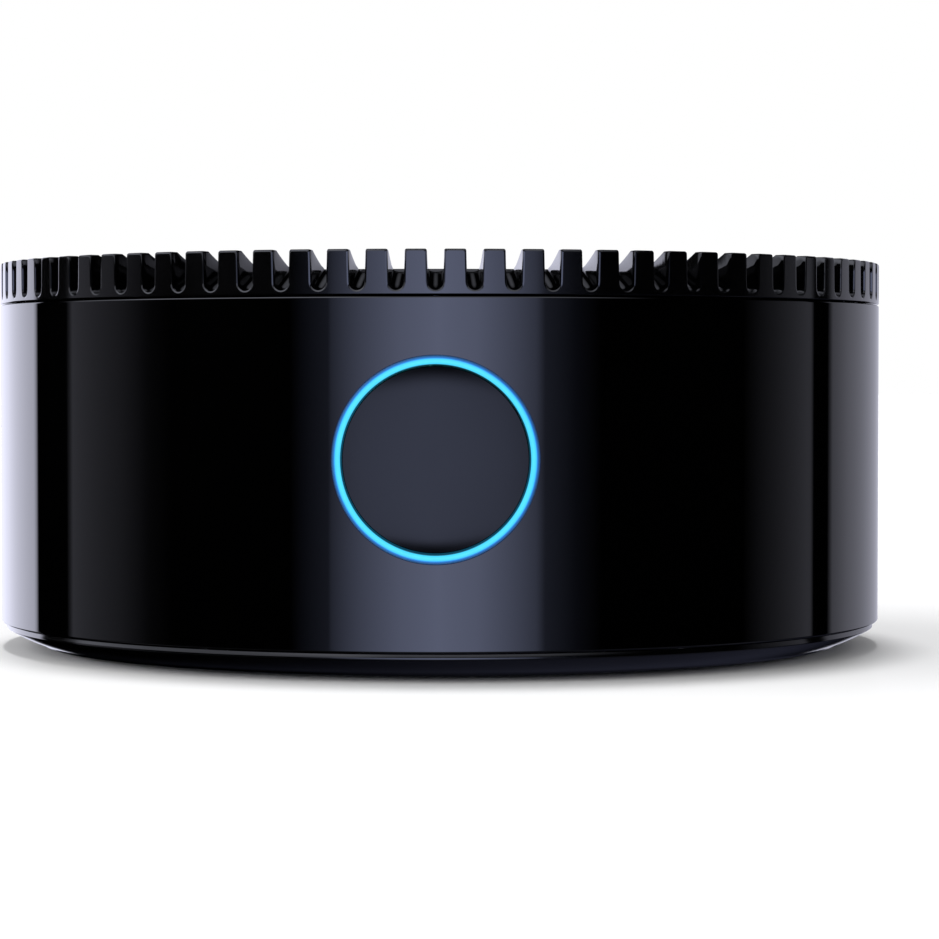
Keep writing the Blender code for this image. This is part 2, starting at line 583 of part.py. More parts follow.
def make_mainboard():
    """Round board with a straight rear edge, notches for the posts and holes for its screws."""
    low = BOARD_TOP - BOARD_THICK
    board = rod("mainboard", (0, 0, low), (0, 0, BOARD_TOP), BOARD_R, 48)
    cuts = [box("rear", (-60 * MM, BOARD_REAR_Y, 0), (60 * MM, 60 * MM, 20 * MM), cutters)]
    cuts += [rod("notch", polar(POST_RING_R, a, 0), polar(POST_RING_R, a, 20 * MM), 3.5 * MM, 16, cutters)
             for a in POST_ANGLES]
    for angle in POST_ANGLES:
        mouth = box("notch_mouth", (44 * MM, -3.5 * MM, 0), (60 * MM, 3.5 * MM, 20 * MM), cutters)
        mouth.location = polar(52 * MM, angle, 10 * MM)
        mouth.rotation_euler = (0, 0, math.radians(angle))
        cuts.append(mouth)
    cuts += [rod("way", (x * MM, y * MM, 0), (x * MM, y * MM, 20 * MM), 1.1 * MM, 12, cutters)
             for x, y in STANDOFFS]
    boolean(board, "DIFFERENCE", *cuts)
    finish(board, BOARD_GREEN, 0.4)


def chip(name, centre, size, colour=CHIP, roughness=0.4, metallic=0.0, edge=0.15):
    """A component on the mainboard: centre x, y and size x, y, z in millimetres."""
    x, y = centre
    wide, deep, high = size
    part = box(name, ((x - wide / 2) * MM, (y - deep / 2) * MM, PART_FLOOR),
               ((x + wide / 2) * MM, (y + deep / 2) * MM, PART_FLOOR + high * MM))
    return finish(bevel(part, edge * MM), colour, roughness, metallic)


def make_components():
    chip("processor", (0, 0), (15, 15, 1.4))
    chip("memory_chip_1", (-12.5, -14), (9, 13, 1.0))
    chip("memory_chip_2", (0, -16), (9, 13, 1.0))
    chip("flash_chip", (13, -14), (11.5, 13, 1.1))
    chip("power_chip", (-27, 4), (6, 6, 1.0))
    chip("power_inductor", (-27, 11), (7, 6, 4), (0.12, 0.12, 0.13), 0.6)
    chip("wifi_board", (33, 2), (13, 15, 1.0), (0.01, 0.03, 0.09))
    chip("infrared_receiver", (30, -33), (5.6, 4, 7), (0.03, 0.01, 0.02), 0.2)
    shield = box("wifi_shield", (28 * MM, -3 * MM, PART_FLOOR + 1.3 * MM),
                 (38 * MM, 7 * MM, PART_FLOOR + 3.1 * MM))
    finish(bevel(shield, 0.3 * MM), STEEL, 0.3, 1.0)
    can = turned("capacitor", [(0, 8.2 * MM), (2.9 * MM, 8.2 * MM), (3.15 * MM, 7.9 * MM),
                               (3.15 * MM, 1.6 * MM), (2.9 * MM, 1.2 * MM), (3.15 * MM, 0.8 * MM),
                               (3.15 * MM, 0), (0, 0)], 20, closed=False)
    can.location = (-38 * MM, 2 * MM, PART_FLOOR)
    settle(can)
    finish(can, (0.1, 0.1, 0.3), 0.35, 0.4)


def make_heat_path():
    """Pad on the processor, a cast column with a wide head, and a pad under the lid."""
    pad_low = PART_FLOOR + 1.4 * MM + GAP
    pad = box("thermal_pad", (-7 * MM, -7 * MM, pad_low), (7 * MM, 7 * MM, pad_low + 0.8 * MM))
    finish(pad, (0.5, 0.55, 0.6), 0.8)
    foot = pad_low + 0.8 * MM + GAP
    head = 42.4 * MM
    column = turned("heat_column", [
        (0, head), (27 * MM, head), (27 * MM, head - 1.6 * MM), (16 * MM, head - 3.2 * MM),
        (10 * MM, head - 8 * MM), (9 * MM, foot + 6 * MM), (11 * MM, foot + 2 * MM), (11 * MM, foot), (0, foot)],
        32, closed=False)
    settle(column)
    finish(column, (0.7, 0.7, 0.72), 0.4, 1.0)
    lid_pad = rod("lid_pad", (0, 0, head + GAP), (0, 0, LID_LOW - GAP), 24 * MM, 40)
    finish(lid_pad, (0.5, 0.55, 0.6), 0.8)


def make_cables():
    """Flat cable from the light board to the mainboard, and a coaxial lead to each antenna."""
    board_back = -LIGHT_BOARD_FRONT + LIGHT_BOARD_THICK
    socket = box("ribbon_socket", (-4 * MM, -36 * MM, PART_FLOOR), (4 * MM, -32.5 * MM, PART_FLOOR + 2 * MM))
    finish(socket, (0.8, 0.78, 0.7), 0.5)
    start = Vector((board_back + GAP, 18 * MM))
    end = Vector((-36 * MM - GAP, PART_FLOOR + 1.0 * MM))
    middle = []
    count = 9
    for i in range(count):
        angle = math.pi / 2 * i / (count - 1)
        middle.append(Vector((end.x - (end.x - start.x) * math.cos(angle),
                              start.y - (start.y - end.y) * math.sin(angle))))
    half = 0.12 * MM
    sides = []
    for i, point in enumerate(middle):
        along = (middle[min(i + 1, count - 1)] - middle[max(i - 1, 0)]).normalized()
        sides.append((point, Vector((-along.y, along.x))))
    points = [p + half * n for p, n in sides] + [p - half * n for p, n in reversed(sides)]
    ribbon = outline("ribbon_cable", [(p.x, p.y) for p in points], 6 * MM)
    # The outline's own X is the drum's Y and its own Y is the drum's Z
    ribbon.matrix_world = Matrix(((0, 0, 1, 0), (1, 0, 0, 0), (0, 1, 0, 0), (0, 0, 0, 1)))
    finish(ribbon, (0.75, 0.72, 0.65), 0.5)

    for i, (low_angle, high_angle) in enumerate(((-14, 14), (166, 194)), 1):
        steps = 8
        arc = [low_angle + (high_angle - low_angle) * k / steps for k in range(steps + 1)]
        outer = [polar(52.5 * MM, a) for a in arc]
        inner = [polar(52.0 * MM, a) for a in reversed(arc)]
        antenna = outline(f"antenna_{i}", [(p.x, p.y) for p in outer + inner], 12 * MM)
        antenna.location = (0, 0, 26 * MM)
        finish(antenna, (0.5, 0.3, 0.12), 0.5)
    lead_z = PART_FLOOR + 4.6 * MM
    near = [Vector((35, 5, 0)) * MM + Vector((0, 0, lead_z)), Vector((39, 8, 17)) * MM,
            Vector((46, 6, 20)) * MM, Vector((51, 2, 24)) * MM, Vector((51.1, 0, 28)) * MM]
    far = [Vector((31, -1, 0)) * MM + Vector((0, 0, lead_z)), Vector((25, -9, 17)) * MM,
           Vector((8, -24, 18)) * MM, Vector((-14, -27, 18)) * MM, Vector((-38, -14, 19)) * MM,
           Vector((-50, -3, 22)) * MM, Vector((-51.1, 0, 27)) * MM]
    for i, (route, steps) in enumerate(((near, 2), (far, 3)), 1):
        lead = wire(f"antenna_cable_{i}", smooth_route(route, steps), 0.5 * MM)
        finish(lead, (0.03, 0.03, 0.03), 0.5)


make_body_shell()
make_crown()
make_lid()
make_base()
make_foot()
make_screws()
make_button()
make_light_board()
make_rear_panel()
make_sockets()
make_reset()
make_mainboard()
make_components()
make_heat_path()
make_cables()
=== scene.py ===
import math

import bmesh
import bpy
from mathutils import Matrix, Vector


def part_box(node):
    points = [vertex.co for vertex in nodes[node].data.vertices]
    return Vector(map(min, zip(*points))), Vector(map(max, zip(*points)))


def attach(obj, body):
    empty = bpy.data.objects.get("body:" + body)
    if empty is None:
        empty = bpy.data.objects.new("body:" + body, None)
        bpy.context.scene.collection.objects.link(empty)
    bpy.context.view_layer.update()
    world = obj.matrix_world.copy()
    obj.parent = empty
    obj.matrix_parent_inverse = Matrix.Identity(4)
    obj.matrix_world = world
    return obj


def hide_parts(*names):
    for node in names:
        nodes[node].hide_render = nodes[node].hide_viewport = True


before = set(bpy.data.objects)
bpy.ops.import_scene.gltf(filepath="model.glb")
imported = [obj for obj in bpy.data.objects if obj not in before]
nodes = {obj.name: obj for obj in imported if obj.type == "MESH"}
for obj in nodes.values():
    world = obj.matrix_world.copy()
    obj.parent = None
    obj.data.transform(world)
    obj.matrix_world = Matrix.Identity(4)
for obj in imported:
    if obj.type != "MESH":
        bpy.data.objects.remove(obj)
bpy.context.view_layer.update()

MM = 0.001


def extent(node):
    """Lowest corner, highest corner and centre of a CAD node."""
    low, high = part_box(node)
    return low, high, (low + high) / 2


SHELL_LOW, SHELL_HIGH, _ = extent("body_shell")
CROWN_LOW, CROWN_HIGH, _ = extent("crown_ring")
BASE_LOW, BASE_HIGH, _ = extent("base_tray")
FOOT_LOW, FOOT_HIGH, _ = extent("foot_ring")
LID_LOW, LID_HIGH, _ = extent("top_lid")
BUTTON_LOW, BUTTON_HIGH, BUTTON_MIDDLE = extent("power_button")
PANEL_LOW, PANEL_HIGH, _ = extent("rear_panel")

OUTER_R = SHELL_HIGH.x
WALL = 2.0 * MM
BUTTON_Z = BUTTON_MIDDLE.z
BUTTON_R = BUTTON_HIGH.x
HOLE_R = 11.47 * MM                # front hole in the wall
RING_OUTER_R = 11.42 * MM
RING_INNER_R = 10.42 * MM
LID_R = LID_HIGH.x
LID_LEVEL = LID_HIGH.z
SIDES = 360                        # facets round the drum
TEETH = 80
SCREWS = range(1, 5)               # each kind of screw is numbered from 1 to 4


# ---------------------------------------------------------------- materials

class Nodes:
    """A short way to write a material's node tree."""

    def __init__(self, name):
        self.material = bpy.data.materials.new(name)
        self.material.use_nodes = True
        self.tree = self.material.node_tree
        self.shader = self.tree.nodes["Principled BSDF"]
        self.place = self.add("ShaderNodeTexCoord").outputs["Object"]

    def add(self, kind, **settings):
        made = self.tree.nodes.new(kind)
        for key, value in settings.items():
            setattr(made, key, value)
        return made

    def join(self, source, target):
        self.tree.links.new(source, target)

    def noise(self, scale, detail=3.0, roughness=0.5, stretch=None):
        """Noise in the object's own space, scale in features a metre."""
        made = self.add("ShaderNodeTexNoise")
        made.inputs["Scale"].default_value = scale
        made.inputs["Detail"].default_value = detail
        made.inputs["Roughness"].default_value = roughness
        source = self.place
        if stretch:
            mapping = self.add("ShaderNodeMapping")
            mapping.inputs["Scale"].default_value = stretch
            self.join(source, mapping.inputs["Vector"])
            source = mapping.outputs["Vector"]
        self.join(source, made.inputs["Vector"])
        return made.outputs["Fac"]

    def ramp(self, source, stops):
        made = self.add("ShaderNodeValToRGB")
        while len(made.color_ramp.elements) < len(stops):
            made.color_ramp.elements.new(0.5)
        for element, (position, colour) in zip(made.color_ramp.elements, stops):
            element.position = position
            element.color = (*colour, 1.0)
        self.join(source, made.inputs["Fac"])
        return made.outputs["Color"]

    def spread(self, source, low, high, from_low=0.35, from_high=0.65):
        made = self.add("ShaderNodeMapRange")
        made.inputs["From Min"].default_value = from_low
        made.inputs["From Max"].default_value = from_high
        made.inputs["To Min"].default_value = low
        made.inputs["To Max"].default_value = high
        self.join(source, made.inputs["Value"])
        return made.outputs["Result"]

    def bump(self, source, height, strength=1.0, below=None):
        made = self.add("ShaderNodeBump")
        made.inputs["Distance"].default_value = height
        made.inputs["Strength"].default_value = strength
        self.join(source, made.inputs["Height"])
        if below is not None:
            self.join(below, made.inputs["Normal"])
        return made.outputs["Normal"]

    def set(self, **values):
        for key, value in values.items():
            self.shader.inputs[key.replace("_", " ")].default_value = value


def shades(colour, change):
    """A darker and a lighter version of a colour."""
    darker = tuple(c * (1 - change) for c in colour)
    lighter = tuple(min(1.0, c * (1 + change)) for c in colour)
    return darker, lighter


def plastic(name, colour, rough, rough_spread=0.03, grain=0.0, grain_scale=9000, change=0.15,
            specular=0.5, coat=0.0):
    """Moulded plastic: faint mottling, uneven gloss, moulded grain and a trace of waviness."""
    made = Nodes(name)
    mottle = made.noise(180, 4)
    dark, light = shades(colour, change)
    made.join(made.ramp(mottle, [(0.3, dark), (0.7, light)]), made.shader.inputs["Base Color"])
    smear = made.noise(55, 5, 0.6)
    made.join(made.spread(smear, max(0.02, rough - rough_spread), rough + rough_spread),
              made.shader.inputs["Roughness"])
    normal = made.bump(made.noise(60, 2), 0.004 * MM, 0.35)
    if grain:
        normal = made.bump(made.noise(grain_scale, 2), grain, 0.6, normal)
    made.join(normal, made.shader.inputs["Normal"])
    made.set(Specular_IOR_Level=specular, Coat_Weight=coat, Coat_Roughness=0.03)
    return made.material


def metal(name, colour, rough, stretch=(1, 1, 1), scale=2500, grain=0.0006 * MM):
    """Plated or cast metal: fine directional scratches and patches of uneven tarnish."""
    made = Nodes(name)
    dark, light = shades(colour, 0.18)
    patches = made.ramp(made.noise(240, 4), [(0.3, dark), (0.7, light)])
    made.join(patches, made.shader.inputs["Base Color"])
    lines = made.noise(scale, 3, 0.6, stretch)
    made.join(made.spread(lines, rough * 0.75, rough * 1.35), made.shader.inputs["Roughness"])
    made.join(made.bump(lines, grain, 0.5), made.shader.inputs["Normal"])
    made.set(Metallic=1.0)
    return made.material


def circuit_board(name, colour):
    """Solder mask over copper: faint tracks under a satin lacquer, with small round vias."""
    made = Nodes(name)
    copper = made.add("ShaderNodeTexVoronoi", feature="DISTANCE_TO_EDGE", distance="MANHATTAN")
    copper.inputs["Scale"].default_value = 260
    made.join(made.place, copper.inputs["Vector"])
    dark, light = shades(colour, 0.35)
    tracks = made.ramp(copper.outputs["Distance"],
                       [(0.0, light), (0.06, light), (0.075, dark), (1.0, colour)])
    vias = made.add("ShaderNodeTexVoronoi")
    vias.inputs["Scale"].default_value = 420
    vias.inputs["Randomness"].default_value = 0.8
    made.join(made.place, vias.inputs["Vector"])
    via_mask = made.spread(vias.outputs["Distance"], 1.0, 0.0, 0.10, 0.13)
    mixed = made.add("ShaderNodeMix", data_type="RGBA")
    made.join(via_mask, mixed.inputs["Factor"])
    made.join(tracks, mixed.inputs[6])
    mixed.inputs[7].default_value = (0.45, 0.42, 0.25, 1)
    made.join(mixed.outputs[2], made.shader.inputs["Base Color"])
    made.join(made.spread(made.noise(400), 0.3, 0.42), made.shader.inputs["Roughness"])
    made.join(made.bump(copper.outputs["Distance"], 0.03 * MM, 0.3), made.shader.inputs["Normal"])
    return made.material


def chip_moulding(name, colour=(0.022, 0.022, 0.024)):
    """Matt moulded epoxy with a fine granular surface."""
    return plastic(name, colour, 0.5, 0.06, 0.006 * MM, 12000, 0.25)


def rubber(name, colour=(0.018, 0.018, 0.018)):
    return plastic(name, colour, 0.82, 0.08, 0.02 * MM, 5000, 0.3, 0.3)


def glowing(name):
    """Lit diffuser: cyan band, with a deep blue border where less light reaches its outer edge."""
    made = Nodes(name)
    offset = made.add("ShaderNodeVectorMath", operation="SUBTRACT")
    offset.inputs[1].default_value = (0, 0, BUTTON_Z)
    made.join(made.place, offset.inputs[0])
    flat = made.add("ShaderNodeVectorMath", operation="MULTIPLY")
    flat.inputs[1].default_value = (1, 0, 1)
    made.join(offset.outputs["Vector"], flat.inputs[0])
    radius = made.add("ShaderNodeVectorMath", operation="LENGTH")
    made.join(flat.outputs["Vector"], radius.inputs[0])
    across = made.spread(radius.outputs["Value"], 0.0, 1.0, RING_INNER_R, RING_OUTER_R)
    colour = made.ramp(across, [
        (0.0, (0.004, 0.05, 0.09)), (0.08, (0.055, 0.66, 1.0)), (0.35, (0.085, 0.74, 1.0)),
        (0.58, (0.055, 0.60, 1.0)), (0.69, (0.010, 0.19, 0.70)), (0.80, (0.006, 0.06, 0.36)),
        (0.92, (0.010, 0.03, 0.14)), (1.0, (0.012, 0.02, 0.08))])
    made.join(colour, made.shader.inputs["Emission Color"])
    made.join(made.spread(made.noise(900, 2), 0.97, 1.03), made.shader.inputs["Emission Strength"])
    made.join(made.bump(made.noise(3000, 2), 0.003 * MM, 0.4), made.shader.inputs["Normal"])
    made.set(Base_Color=(0.02, 0.1, 0.14, 1), Roughness=0.35, Specular_IOR_Level=0.2)
    return made.material


# ---------------------------------------------------------------- mesh tools

def new_piece(name, mesh, finish, body, node=None):
    """Link a finished mesh as a piece that rides on a body and stands for a CAD node."""
    piece = bpy.data.objects.new(name, mesh)
    bpy.context.scene.collection.objects.link(piece)
    for one in (finish if isinstance(finish, (list, tuple)) else [finish]):
        mesh.materials.append(one)
    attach(piece, body)
    if node:
        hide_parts(node)
    return piece


def mesh_of(cage, name, sharp=30):
    """A mesh from a bmesh, shaded smooth except at its sharp edges."""
    bmesh.ops.recalc_face_normals(cage, faces=cage.faces)
    mesh = bpy.data.meshes.new(name)
    cage.to_mesh(mesh)
    cage.free()
    mesh.shade_smooth()
    mesh.set_sharp_from_angle(angle=math.radians(sharp))
    return mesh


def mm(*points):
    """Points given in millimetres."""
    return [tuple(value * MM for value in point) for point in points]


def polar(radius, angle, height):
    return Vector((radius * math.cos(angle), radius * math.sin(angle), height))


def upright(node):
    """Local +Z runs up through the middle of a CAD node."""
    _, _, middle = extent(node)
    return Matrix.Translation((middle.x, middle.y, 0))


def backward(place):
    """Local +Z points to the back from a place."""
    return Matrix.Translation(place) @ Matrix.Rotation(-math.pi / 2, 4, "X")


def on_button_axis():
    """Local +Z points out of the front along the button's axis."""
    return Matrix.Translation((0, 0, BUTTON_Z)) @ Matrix.Rotation(math.pi / 2, 4, "X")


def bridge(cage, one, other):
    """Join two closed rings of vertices with quads."""
    count = len(one)
    for k in range(count):
        after = (k + 1) % count
        cage.faces.new((one[k], other[k], other[after], one[after]))


def add_turned(cage, profile, sides=SIDES, matrix=None, close=True):
    """Add a turned solid: (radius, height) points. A point on the axis becomes one vertex."""
    matrix = matrix or Matrix.Identity(4)
    rings = []
    for radius, height in profile:
        turns = range(1 if radius < 1e-7 else sides)
        rings.append([cage.verts.new(matrix @ polar(radius, 2 * math.pi * k / sides, height))
                      for k in turns])
    pairs = list(zip(rings, rings[1:]))
    if close:
        pairs.append((rings[-1], rings[0]))
    for above, below in pairs:
        if len(above) == len(below) == sides:
            bridge(cage, above, below)
            continue
        for k in range(sides):
            after = (k + 1) % sides
            if len(above) == 1:
                cage.faces.new((above[0], below[k], below[after]))
            else:
                cage.faces.new((above[k], below[0], above[after]))


def add_rod(cage, radius, start, end, sides=SIDES, matrix=None):
    """Add a plain cylinder between two heights."""
    profile = [(0, start), (radius, start), (radius, end), (0, end)]
    add_turned(cage, profile, sides, matrix, close=False)


def add_box(cage, low, high):
    low, high = Vector(low), Vector(high)
    made = bmesh.ops.create_cube(cage, size=1.0)["verts"]
    bmesh.ops.scale(cage, vec=high - low, verts=made)
    bmesh.ops.translate(cage, vec=(low + high) / 2, verts=made)
    return made


def helper(cage, name):
    """A cutter for one Boolean."""
    bmesh.ops.recalc_face_normals(cage, faces=cage.faces)
    mesh = bpy.data.meshes.new(name)
    cage.to_mesh(mesh)
    cage.free()
    made = bpy.data.objects.new(name, mesh)
    bpy.context.scene.collection.objects.link(made)
    return made


def cut(mesh, cutter, operation="DIFFERENCE"):
    """The mesh after one exact Boolean. The cutter is removed."""
    base = bpy.data.objects.new("cut_base", mesh)
    bpy.context.scene.collection.objects.link(base)
    change = base.modifiers.new("cut", "BOOLEAN")
    change.operation = operation
    change.solver = "EXACT"
    change.object = cutter
    graph = bpy.context.evaluated_depsgraph_get()
    graph.update()
    made = bpy.data.meshes.new_from_object(base.evaluated_get(graph))
    bpy.data.objects.remove(base, do_unlink=True)
    bpy.data.objects.remove(cutter, do_unlink=True)
    return made


def bevelled(mesh, width, segments=2, angle=40):
    """The mesh with its sharp edges rounded."""
    base = bpy.data.objects.new("bevel_base", mesh)
    bpy.context.scene.collection.objects.link(base)
    change = base.modifiers.new("bevel", "BEVEL")
    change.width = width
    change.segments = segments
    change.limit_method = "ANGLE"
    change.angle_limit = math.radians(angle)
    graph = bpy.context.evaluated_depsgraph_get()
    graph.update()
    made = bpy.data.meshes.new_from_object(base.evaluated_get(graph))
    bpy.data.objects.remove(base, do_unlink=True)
    made.shade_smooth()
    made.set_sharp_from_angle(angle=math.radians(30))
    return made


def true_round_normals(mesh, radius, low, high):
    """Give a drum's outer face the normals of a true cylinder, for straight reflections."""
    mesh.shade_smooth()
    mesh.set_sharp_from_angle(angle=math.radians(30))
    normals = [Vector(corner.vector) for corner in mesh.corner_normals]
    for face in mesh.polygons:
        outward = Vector((face.center.x, face.center.y, 0)).normalized()
        if face.normal.dot(outward) < 0.9995:
            continue
        for index in face.loop_indices:
            place = mesh.vertices[mesh.loops[index].vertex_index].co
            if abs(math.hypot(place.x, place.y) - radius) < 0.02 * MM and low <= place.z <= high:
                normals[index] = Vector((place.x, place.y, 0)).normalized()
    mesh.normals_split_custom_set([tuple(n) for n in normals])


# ---------------------------------------------------------------- body shell

def make_body_shell():
    """Glossy wall with a rounded lower edge, an inner ledge and screw posts.

    The front hole, the rear window and the ways of the crown's screws are cut through it.
    """
    top, low = SHELL_HIGH.z, SHELL_LOW.z
    inner = OUTER_R - WALL
    ledge_low, ledge_top, ledge_r = top - 1.88 * MM, top - 0.18 * MM, 41.0 * MM
    turn = 0.22 * MM                   # radius of the lower edge
    straight = top - low - turn - 0.2 * MM
    levels, bend_steps = 6, 8
    wall_levels = [(OUTER_R, low + turn + straight * k / levels) for k in range(levels, -1, -1)]
    angles = [math.radians(90 * k / bend_steps) for k in range(1, bend_steps + 1)]
    lower_edge = [(OUTER_R - turn * (1 - math.cos(a)), low + turn * (1 - math.sin(a)))
                  for a in angles]
    cage = bmesh.new()
    add_turned(cage, [
        (OUTER_R - 0.2 * MM, top), (OUTER_R - 0.12 * MM, top - 0.02 * MM),
        (OUTER_R - 0.03 * MM, top - 0.1 * MM), *wall_levels, *lower_edge, (inner, low),
        (inner, ledge_low), (ledge_r, ledge_low), (ledge_r, ledge_top), (inner, ledge_top),
        (inner, top)])
    mesh = mesh_of(cage, "body_shell_fine")

    hole = bmesh.new()
    add_rod(hole, HOLE_R, 60 * MM, 48 * MM, 256, on_button_axis())
    mesh = cut(mesh, helper(hole, "front_hole"))
    window = bmesh.new()
    gap = 0.3 * MM
    add_box(window, (PANEL_LOW.x - gap, 38 * MM, PANEL_LOW.z - gap),
            (PANEL_HIGH.x + gap, 60 * MM, PANEL_HIGH.z + gap))
    mesh = cut(mesh, helper(window, "rear_window"))
    ways = bmesh.new()
    for i in SCREWS:
        add_rod(ways, 1.2 * MM, ledge_low - MM, ledge_top + MM, 24, upright(f"crown_screw_{i}"))
    mesh = cut(mesh, helper(ways, "screw_ways"))
    true_round_normals(mesh, OUTER_R, low + turn - 0.01 * MM, top - 0.19 * MM)
    new_piece("body_shell_fine", mesh, GLOSS, "housing", "body_shell")

    posts = bmesh.new()
    post_r, post_top = 2.9 * MM, ledge_low - 0.1 * MM
    for i in SCREWS:
        place = upright(f"base_screw_{i}")
        add_turned(posts, mm((1.1, 5.1), (1.1, 16), (0, 16)), 20, place, close=False)
        add_turned(posts, mm((1.1, 5.1), (2.6, 5.1), (2.9, 5.4)) + [(post_r, post_top), (0, post_top)],
                   32, place, close=False)
    bmesh.ops.remove_doubles(posts, verts=posts.verts, dist=0.001 * MM)
    new_piece("shell_posts", mesh_of(posts, "shell_posts"), INNER_BLACK, "housing",
              "body_shell")


# ---------------------------------------------------------------- crown

def make_crown():
    """Eighty fins round a rim: one closed sheet of columns, with a U-shaped notch in each pitch."""
    top, low = CROWN_HIGH.z, CROWN_LOW.z
    bend = 0.22 * MM                   # small edge rounding of the fins
    notch_low = low + 0.52 * MM
    half_low, half_top = 0.86 * MM, 0.94 * MM
    crest_r = OUTER_R - 1.3 * MM       # where each fin's flat top ends
    run_out_r = OUTER_R - 1.4 * MM     # where each notch's floor starts to rise
    root_r = OUTER_R * 0.895           # where fins and notches meet the lid's level
    u_top = notch_low + half_low
    pitch = 2 * math.pi / TEETH

    def fin_top(radius):
        """Height of a fin at a radius: flat, then a slightly hollow slope down to the lid."""
        t = max(0.0, (crest_r - radius) / (crest_r - root_r))
        return top - (top - LID_LEVEL) * (t + 0.24 * t * (1 - t))

    def notch_floor(radius):
        """Height of a notch's bottom: level, then running out upwards to the lid."""
        t = max(0.0, (run_out_r - radius) / (run_out_r - root_r))
        return notch_low + (LID_LEVEL - 0.3 * MM - notch_low) * t

    def section(radius, shrink):
        """Offsets and heights from a notch's centre to the edge of the next fin's top."""
        crown = fin_top(radius) - shrink
        bottom = notch_floor(radius) - shrink
        half = half_low + shrink
        bowl = min(half, (crown - bottom) * 0.8)
        made = []
        bowl_steps = 6
        for k in range(bowl_steps + 1):
            a = math.radians(90 * k / bowl_steps)
            made.append((half * math.sin(a), bottom + bowl * (1 - math.cos(a))))
        bowl_top = made[-1][1]
        corner = min(bend, (crown - bowl_top) * 0.5)
        side_high = crown - corner
        lean = (half_top - half_low) / (top - u_top)
        for t in (0.5, 1.0):
            z = bowl_top + (side_high - bowl_top) * t
            made.append((half + max(0.0, lean * (z - u_top)), z))
        edge = made[-1][0]
        rise = max(crown - side_high, 0.005 * MM)
        for a in (math.radians(35), math.radians(65), math.radians(90)):
            made.append((edge + corner * (1 - math.cos(a)), side_high + rise * math.sin(a)))
        return made

    def ring_of(radius, shrink):
        """The whole way round at one radius."""
        half = section(radius, shrink)
        row = []
        for tooth in range(TEETH):
            centre = -math.pi / 2 + tooth * pitch
            for offset, height in [(-o, h) for o, h in reversed(half[1:])] + half:
                row.append(polar(radius, centre + math.asin(offset / radius), height))
        return row

    def flat_rings(row, profile):
        """Level rings with their points in line with a row's."""
        angles = [math.atan2(p.y, p.x) for p in row]
        return [[polar(radius, a, height) for a in angles] for radius, height in profile]

    slope_steps = 7
    slope = crest_r - root_r - 0.05 * MM
    stations = [(OUTER_R, bend), (OUTER_R - 0.05 * MM, 0.06 * MM), (OUTER_R - bend, 0.0),
                (OUTER_R - 0.7 * MM, 0.0)]
    stations += [(crest_r - slope * k / slope_steps, 0.0) for k in range(slope_steps + 1)]
    rows = [ring_of(radius, shrink) for radius, shrink in stations]
    outer_low = flat_rings(rows[0], [(OUTER_R - 0.2 * MM, low), (OUTER_R - 0.05 * MM, low + 0.03 * MM),
                                     (OUTER_R, low + 0.1 * MM)])
    inner_r = LID_R + 0.3 * MM
    seat_r, seat = inner_r - 1.8 * MM, low + 0.75 * MM     # the lid rests on this step
    inside = flat_rings(rows[-1], [
        (root_r, LID_LEVEL), (inner_r + 0.25 * MM, LID_LEVEL),
        (inner_r + 0.07 * MM, LID_LEVEL - 0.07 * MM), (inner_r, LID_LEVEL - 0.25 * MM),
        (inner_r, seat), (seat_r, seat), (seat_r, low)])
    cage = bmesh.new()
    sheets = [[cage.verts.new(p) for p in row] for row in [*outer_low, *rows, *inside]]
    for above, below in zip(sheets, sheets[1:] + sheets[:1]):
        bridge(cage, above, below)
    mesh = mesh_of(cage, "crown_fine", 35)
    true_round_normals(mesh, OUTER_R, low + 0.05 * MM, top)
    new_piece("crown_fine", mesh, CROWN_GLOSS, "housing", "crown_ring")


# ---------------------------------------------------------------- lid, base and foot

def make_lid():
    """Lid with a rounded rim and a barely raised middle."""
    low = LID_LOW.z
    cage = bmesh.new()
    crown_rise = 0.12 * MM
    steps = 14
    dome = [(0, LID_LEVEL)] + [(LID_R * 0.93 * k / steps, LID_LEVEL - crown_rise * (k / steps) ** 2)
                               for k in range(1, steps + 1)]
    rim = [(LID_R - 0.5 * MM, LID_LEVEL - crown_rise - 0.02 * MM), (LID_R - 0.2 * MM, LID_LEVEL - 0.22 * MM),
           (LID_R - 0.05 * MM, LID_LEVEL - 0.36 * MM), (LID_R, LID_LEVEL - 0.55 * MM)]
    add_turned(cage, [*dome, *rim, (LID_R, low), (0, low)], SIDES, close=False)
    new_piece("top_lid_fine", mesh_of(cage, "top_lid_fine"), LID_SATIN, "housing", "top_lid")


